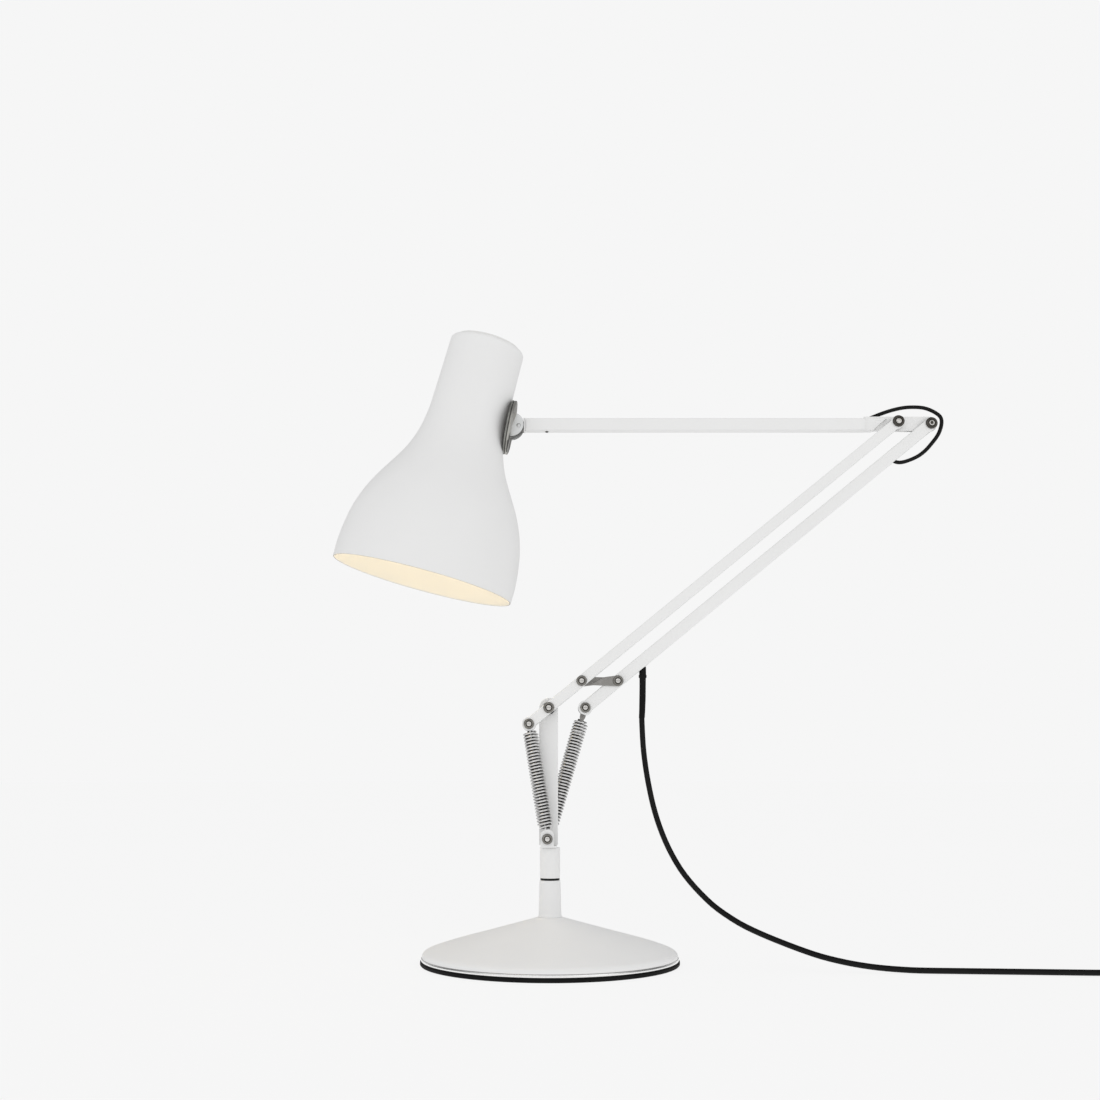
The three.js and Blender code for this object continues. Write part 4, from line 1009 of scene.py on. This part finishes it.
RM, RL = spring_frame(BL, 8.25)
r_z0, r_z1 = 8.2, RL - 10.2
all_pts = helix(r_z0, r_z1, 2.45, RC, 4.5, 3.5, 0.9)
half = len(all_pts) // 2
lower_half = sweep("rear_spring_coil_lower", all_pts[:half + 1], WIRE, 10, RM)
upper_half = sweep("rear_spring_coil_upper", all_pts[half - 1:], WIRE, 10, RM)
zm = all_pts[half][2]
paint_coil_shade(lower_half, RM)
paint_coil_shade(upper_half, RM)
place(lower_half, None, [CHROME, PAINTED_SHADE_METAL], "rear_spring", smooth=80, weighted=False,
      blend=("rear_spring_lower", "rear_spring_middle", (RM @ Vector((0, 0, 9))) / 1000, (RM @ Vector((0, 0, zm - 1))) / 1000))
place(upper_half, None, [CHROME, PAINTED_SHADE_METAL], "rear_spring", smooth=80, weighted=False,
      blend=("rear_spring_middle", "rear_spring_upper", (RM @ Vector((0, 0, zm + 1))) / 1000, (RM @ Vector((0, 0, r_z1 - 1))) / 1000))
place(sweep("rear_spring_foot_hook", wire_loop(0, 3.05, 1, 0.8, 12.5), 0.8, 12, RM), "rear_spring_lower", CHROME, "rear_spring_foot", smooth=80, weighted=False)
strap = [(-1.2, RL - 13.2), (1.2, RL - 13.2), (1.6, RL - 9.6), (2.3, RL - 7.4), (2.3, RL - 3.75)] + [(4.4 * math.cos(-0.98 + (PI + 1.96) * i / 32), RL + 4.4 * math.sin(-0.98 + (PI + 1.96) * i / 32)) for i in range(33)] + [(-2.3, RL - 3.75), (-2.3, RL - 7.4), (-1.6, RL - 9.6)]
strap_ob = flat_piece("rear_spring_strap", strap, -1.0, 0.7, [(0, RL, 2.3)], 0.25, RM, 3)
place(strap_ob, "rear_spring_hook", LINK_STEEL, "rear_spring_hanger", smooth=35)
top_ring = [((RC - 1.0) * math.cos(a), (RC - 1.0) * math.sin(a), RL - 21.3 + 0.25 * a) for a in np.linspace(0, 2 * PI, 40)]
place(sweep("rear_spring_top_hook_wire", top_ring, 0.8, 10, RM), "rear_spring_upper", CHROME, "rear_spring_top_hook", smooth=80, weighted=False)

# ------------------------------------------------------------------ strain relief, lead, coil, tie, plug
sx = lead_hole[0] + 0.5
relief = round_profile([(2.25, 190.2), (2.4, 190.2), (2.45, 196.0), (2.52, 206.0), (2.6, 222.0, 0.1), (3.2, 222.6), (3.2, 224.5), (2.8, 224.9, 0.1), (2.8, 231.3), (2.25, 231.3)], 0.1, 2)
relief_ob = lathe("strain_relief_sleeve", relief, 48, along_z(sx, 0, 0))
for v in relief_ob.data.vertices:
    k = max(0.0, min(1.0, (222.0 - v.co.z) / 32.0))
    v.co.x += -1.15 * k * k
    v.co.y += -1.05 * k * k
place(relief_ob, None, RUBBER, "strain_relief", smooth=50, weighted=False,
      blend=("cable_exit", "front_arm", (sx / 1000, 0, 0.2235), ((sx - 1.15) / 1000, -0.00105, 0.1905)))

tie_out = rounded_rect(8.0, 7.2, 2.2, 6, COIL[1] - 25, 7.25)
tie = prism_x("coil_tie_band", tie_out, COIL[0] - 2.2, COIL[0] + 2.2)
boolean(tie, [prism_x("c", rounded_rect(7.1, 6.55, 1.8, 6, COIL[1] - 25, 6.95), COIL[0] - 4, COIL[0] + 4)])
boolean(tie, [rbox("k", COIL[0] - 2.9, COIL[0] + 2.9, COIL[1] - 25 - 2.6, COIL[1] - 25 + 2.6, 13.7, 15.3, 0.5)], "UNION")
place(ease_edges(tie, 0.3, 50, 2), "column", BLACK_PLASTIC, "coil_tie", smooth=35)

PX0, PY0 = COIL[0] + 42.2, COIL[1] - 9
plug_outline = fillet([(-7.0, 0), (7.0, 0), (9.4, -9.5), (9.4, -26), (7.2, -36), (-7.2, -36), (-9.4, -26), (-9.4, -9.5)], 2.2, 5)
tb = frame_of((PX0, PY0, 0.1 + 6.0), (1, 0, 0), (0, 0, 1), (0, 1, 0))


def plug_frame():
    return Matrix.Translation((PX0, PY0, 6.1))


body_p = flat_piece("mains_plug_moulding", [(p.x, p.y) for p in plug_outline], -6.0, 6.0, bevel=1.6, steps=5,
                    matrix=plug_frame() @ frame_of((0, 0, 0), (1, 0, 0), (0, 0, 1), (0, 1, 0)))
ribs = [(0, -4.0), (5.2, -4.0), (5.3, -0.4)]
for i in range(5):
    y = 0.4 + i * 3.0
    r = 5.0 - 0.36 * i
    ribs += [(r, y), (r, y + 1.6), (r - 0.75, y + 1.9), (r - 0.75, y + 2.7)]
ribs += [(3.05, 15.4), (2.9, 16.0), (2.25, 16.0), (2.25, 11.0), (0, 11.0)]
tail_p = lathe("pt", ribs, 48, plug_frame() @ frame_of((0, 0, 0), (1, 0, 0), (0, 0, -1), (0, 1, 0)))
boolean(body_p, [tail_p], "UNION")
pin_m = [plug_frame() @ frame_of((sx_, 0, 0), (1, 0, 0), (0, 0, -1), (0, 1, 0)) for sx_ in (-6.4, 6.4)]
boolean(body_p, [lathe("pn%d" % i, [(0, -54.5), (1.2, -54.3), (1.75, -53.7), (2.0, -52.9), (2.0, -45.6), (1.9, -45.5), (1.9, -35.0), (0, -35.0)], 32, m) for i, m in enumerate(pin_m)], "UNION")
body_p.data.materials.append(None)
body_p.data.materials.append(None)
for f in body_p.data.polygons:
    f.material_index = 1 if f.center.y < PY0 - 45.55 else 0
place(body_p, "column", [BLACK_PLASTIC, STEEL], "mains_plug", smooth=32)

place(lead, None, CABLE, ("mains_lead", "lead_coil", "lead_tail"), smooth=80, weighted=False,
      blend=("front_arm", "column", (0.0737, -0.001, 0.188), (0.1454, -0.026, 0.040)))
place(elbow_cord, None, CABLE, "elbow_cable", smooth=80, weighted=False,
      blend=("upper_arm", "rear_arm", (0.300, 0.003, 0.449), (0.3125, 0.0007, 0.4115)))

# ------------------------------------------------------------------ studio
world = bpy.data.worlds.new("studio")
bpy.context.scene.world = world
world.use_nodes = True
wt = world.node_tree
wt.nodes.clear()
w_out = wt.nodes.new("ShaderNodeOutputWorld")
bg_seen = wt.nodes.new("ShaderNodeBackground")
bg_seen.inputs["Color"].default_value = (0.9216, 0.9216, 0.9216, 1)
bg_light = wt.nodes.new("ShaderNodeBackground")
co = wt.nodes.new("ShaderNodeTexCoord")
sep = wt.nodes.new("ShaderNodeSeparateXYZ")
wt.links.new(co.outputs["Generated"], sep.inputs[0])
rz = ramp(wt, sep.outputs["Z"], [(0.0, grey(0.86)), (0.35, grey(0.95)), (0.75, grey(0.80)), (1.0, grey(0.76))])
wt.links.new(rz.outputs[0], bg_light.inputs["Color"])
bg_glossy = wt.nodes.new("ShaderNodeBackground")
rg = ramp(wt, sep.outputs["Z"], [(0.0, grey(0.16)), (0.16, grey(0.85)), (0.42, grey(1.0)), (0.52, grey(0.30)), (0.75, grey(0.75)), (1.0, grey(0.30))])
ry = ramp(wt, map_range(wt, sep.outputs["Y"], 0.0, 1.0, (-1.0, 1.0)).outputs[0], [(0.0, grey(1.0)), (0.22, grey(0.95)), (0.42, grey(0.34)), (0.62, grey(0.22)), (1.0, grey(0.55))])
mult = wt.nodes.new("ShaderNodeMix")
mult.data_type, mult.blend_type = "RGBA", "MULTIPLY"
mult.inputs[0].default_value = 1.0
wt.links.new(rg.outputs[0], mult.inputs[6])
wt.links.new(ry.outputs[0], mult.inputs[7])
wt.links.new(mult.outputs[2], bg_glossy.inputs["Color"])
lp_node = wt.nodes.new("ShaderNodeLightPath")
mix_g = wt.nodes.new("ShaderNodeMixShader")
wt.links.new(lp_node.outputs["Is Glossy Ray"], mix_g.inputs[0])
wt.links.new(bg_light.outputs[0], mix_g.inputs[1])
wt.links.new(bg_glossy.outputs[0], mix_g.inputs[2])
mix = wt.nodes.new("ShaderNodeMixShader")
wt.links.new(lp_node.outputs["Is Camera Ray"], mix.inputs[0])
wt.links.new(mix_g.outputs[0], mix.inputs[1])
wt.links.new(bg_seen.outputs[0], mix.inputs[2])
wt.links.new(mix.outputs[0], w_out.inputs[0])


def area(name, location, target, size, power):
    li = bpy.data.lights.new(name, "AREA")
    li.shape, li.size, li.energy = "DISK", size, power
    ob = bpy.data.objects.new(name, li)
    ob.location = location
    ob.rotation_mode = "QUATERNION"
    ob.rotation_quaternion = (Vector(target) - Vector(location)).to_track_quat("-Z", "Y")
    COLL.objects.link(ob)
    return ob


area("key", (-0.9, -1.7, 1.5), (0.05, 0, 0.25), 1.6, 2.5)
area("fill", (1.3, -1.5, 0.9), (0.05, 0, 0.25), 1.6, 1.5)

bm = bmesh.new()
bmesh.ops.create_circle(bm, cap_ends=True, radius=30.0, segments=96)
floor = from_bm("studio_floor", bm)
floor.location = (0, 0, -0.0002)
fm, fnt, fb, fco = new_material("studio_floor", Roughness=0.9, Specular_IOR_Level=0.0, Emission_Strength=1.0)
fn = noise(fnt, fco, 0.7, 2)
fnt.links.new(ramp(fnt, fn.outputs["Fac"], [(0.3, grey(0.075)), (0.7, grey(0.078))]).outputs[0], fb.inputs["Base Color"])
fb.inputs["Emission Color"].default_value = (0.855, 0.855, 0.855, 1)
floor.data.materials.append(fm)

bpy.context.scene.view_settings.view_transform = "Standard"

print("lead length", round(LEAD_LEN, 4), "elbow length", round(ELBOW_LEN, 4))
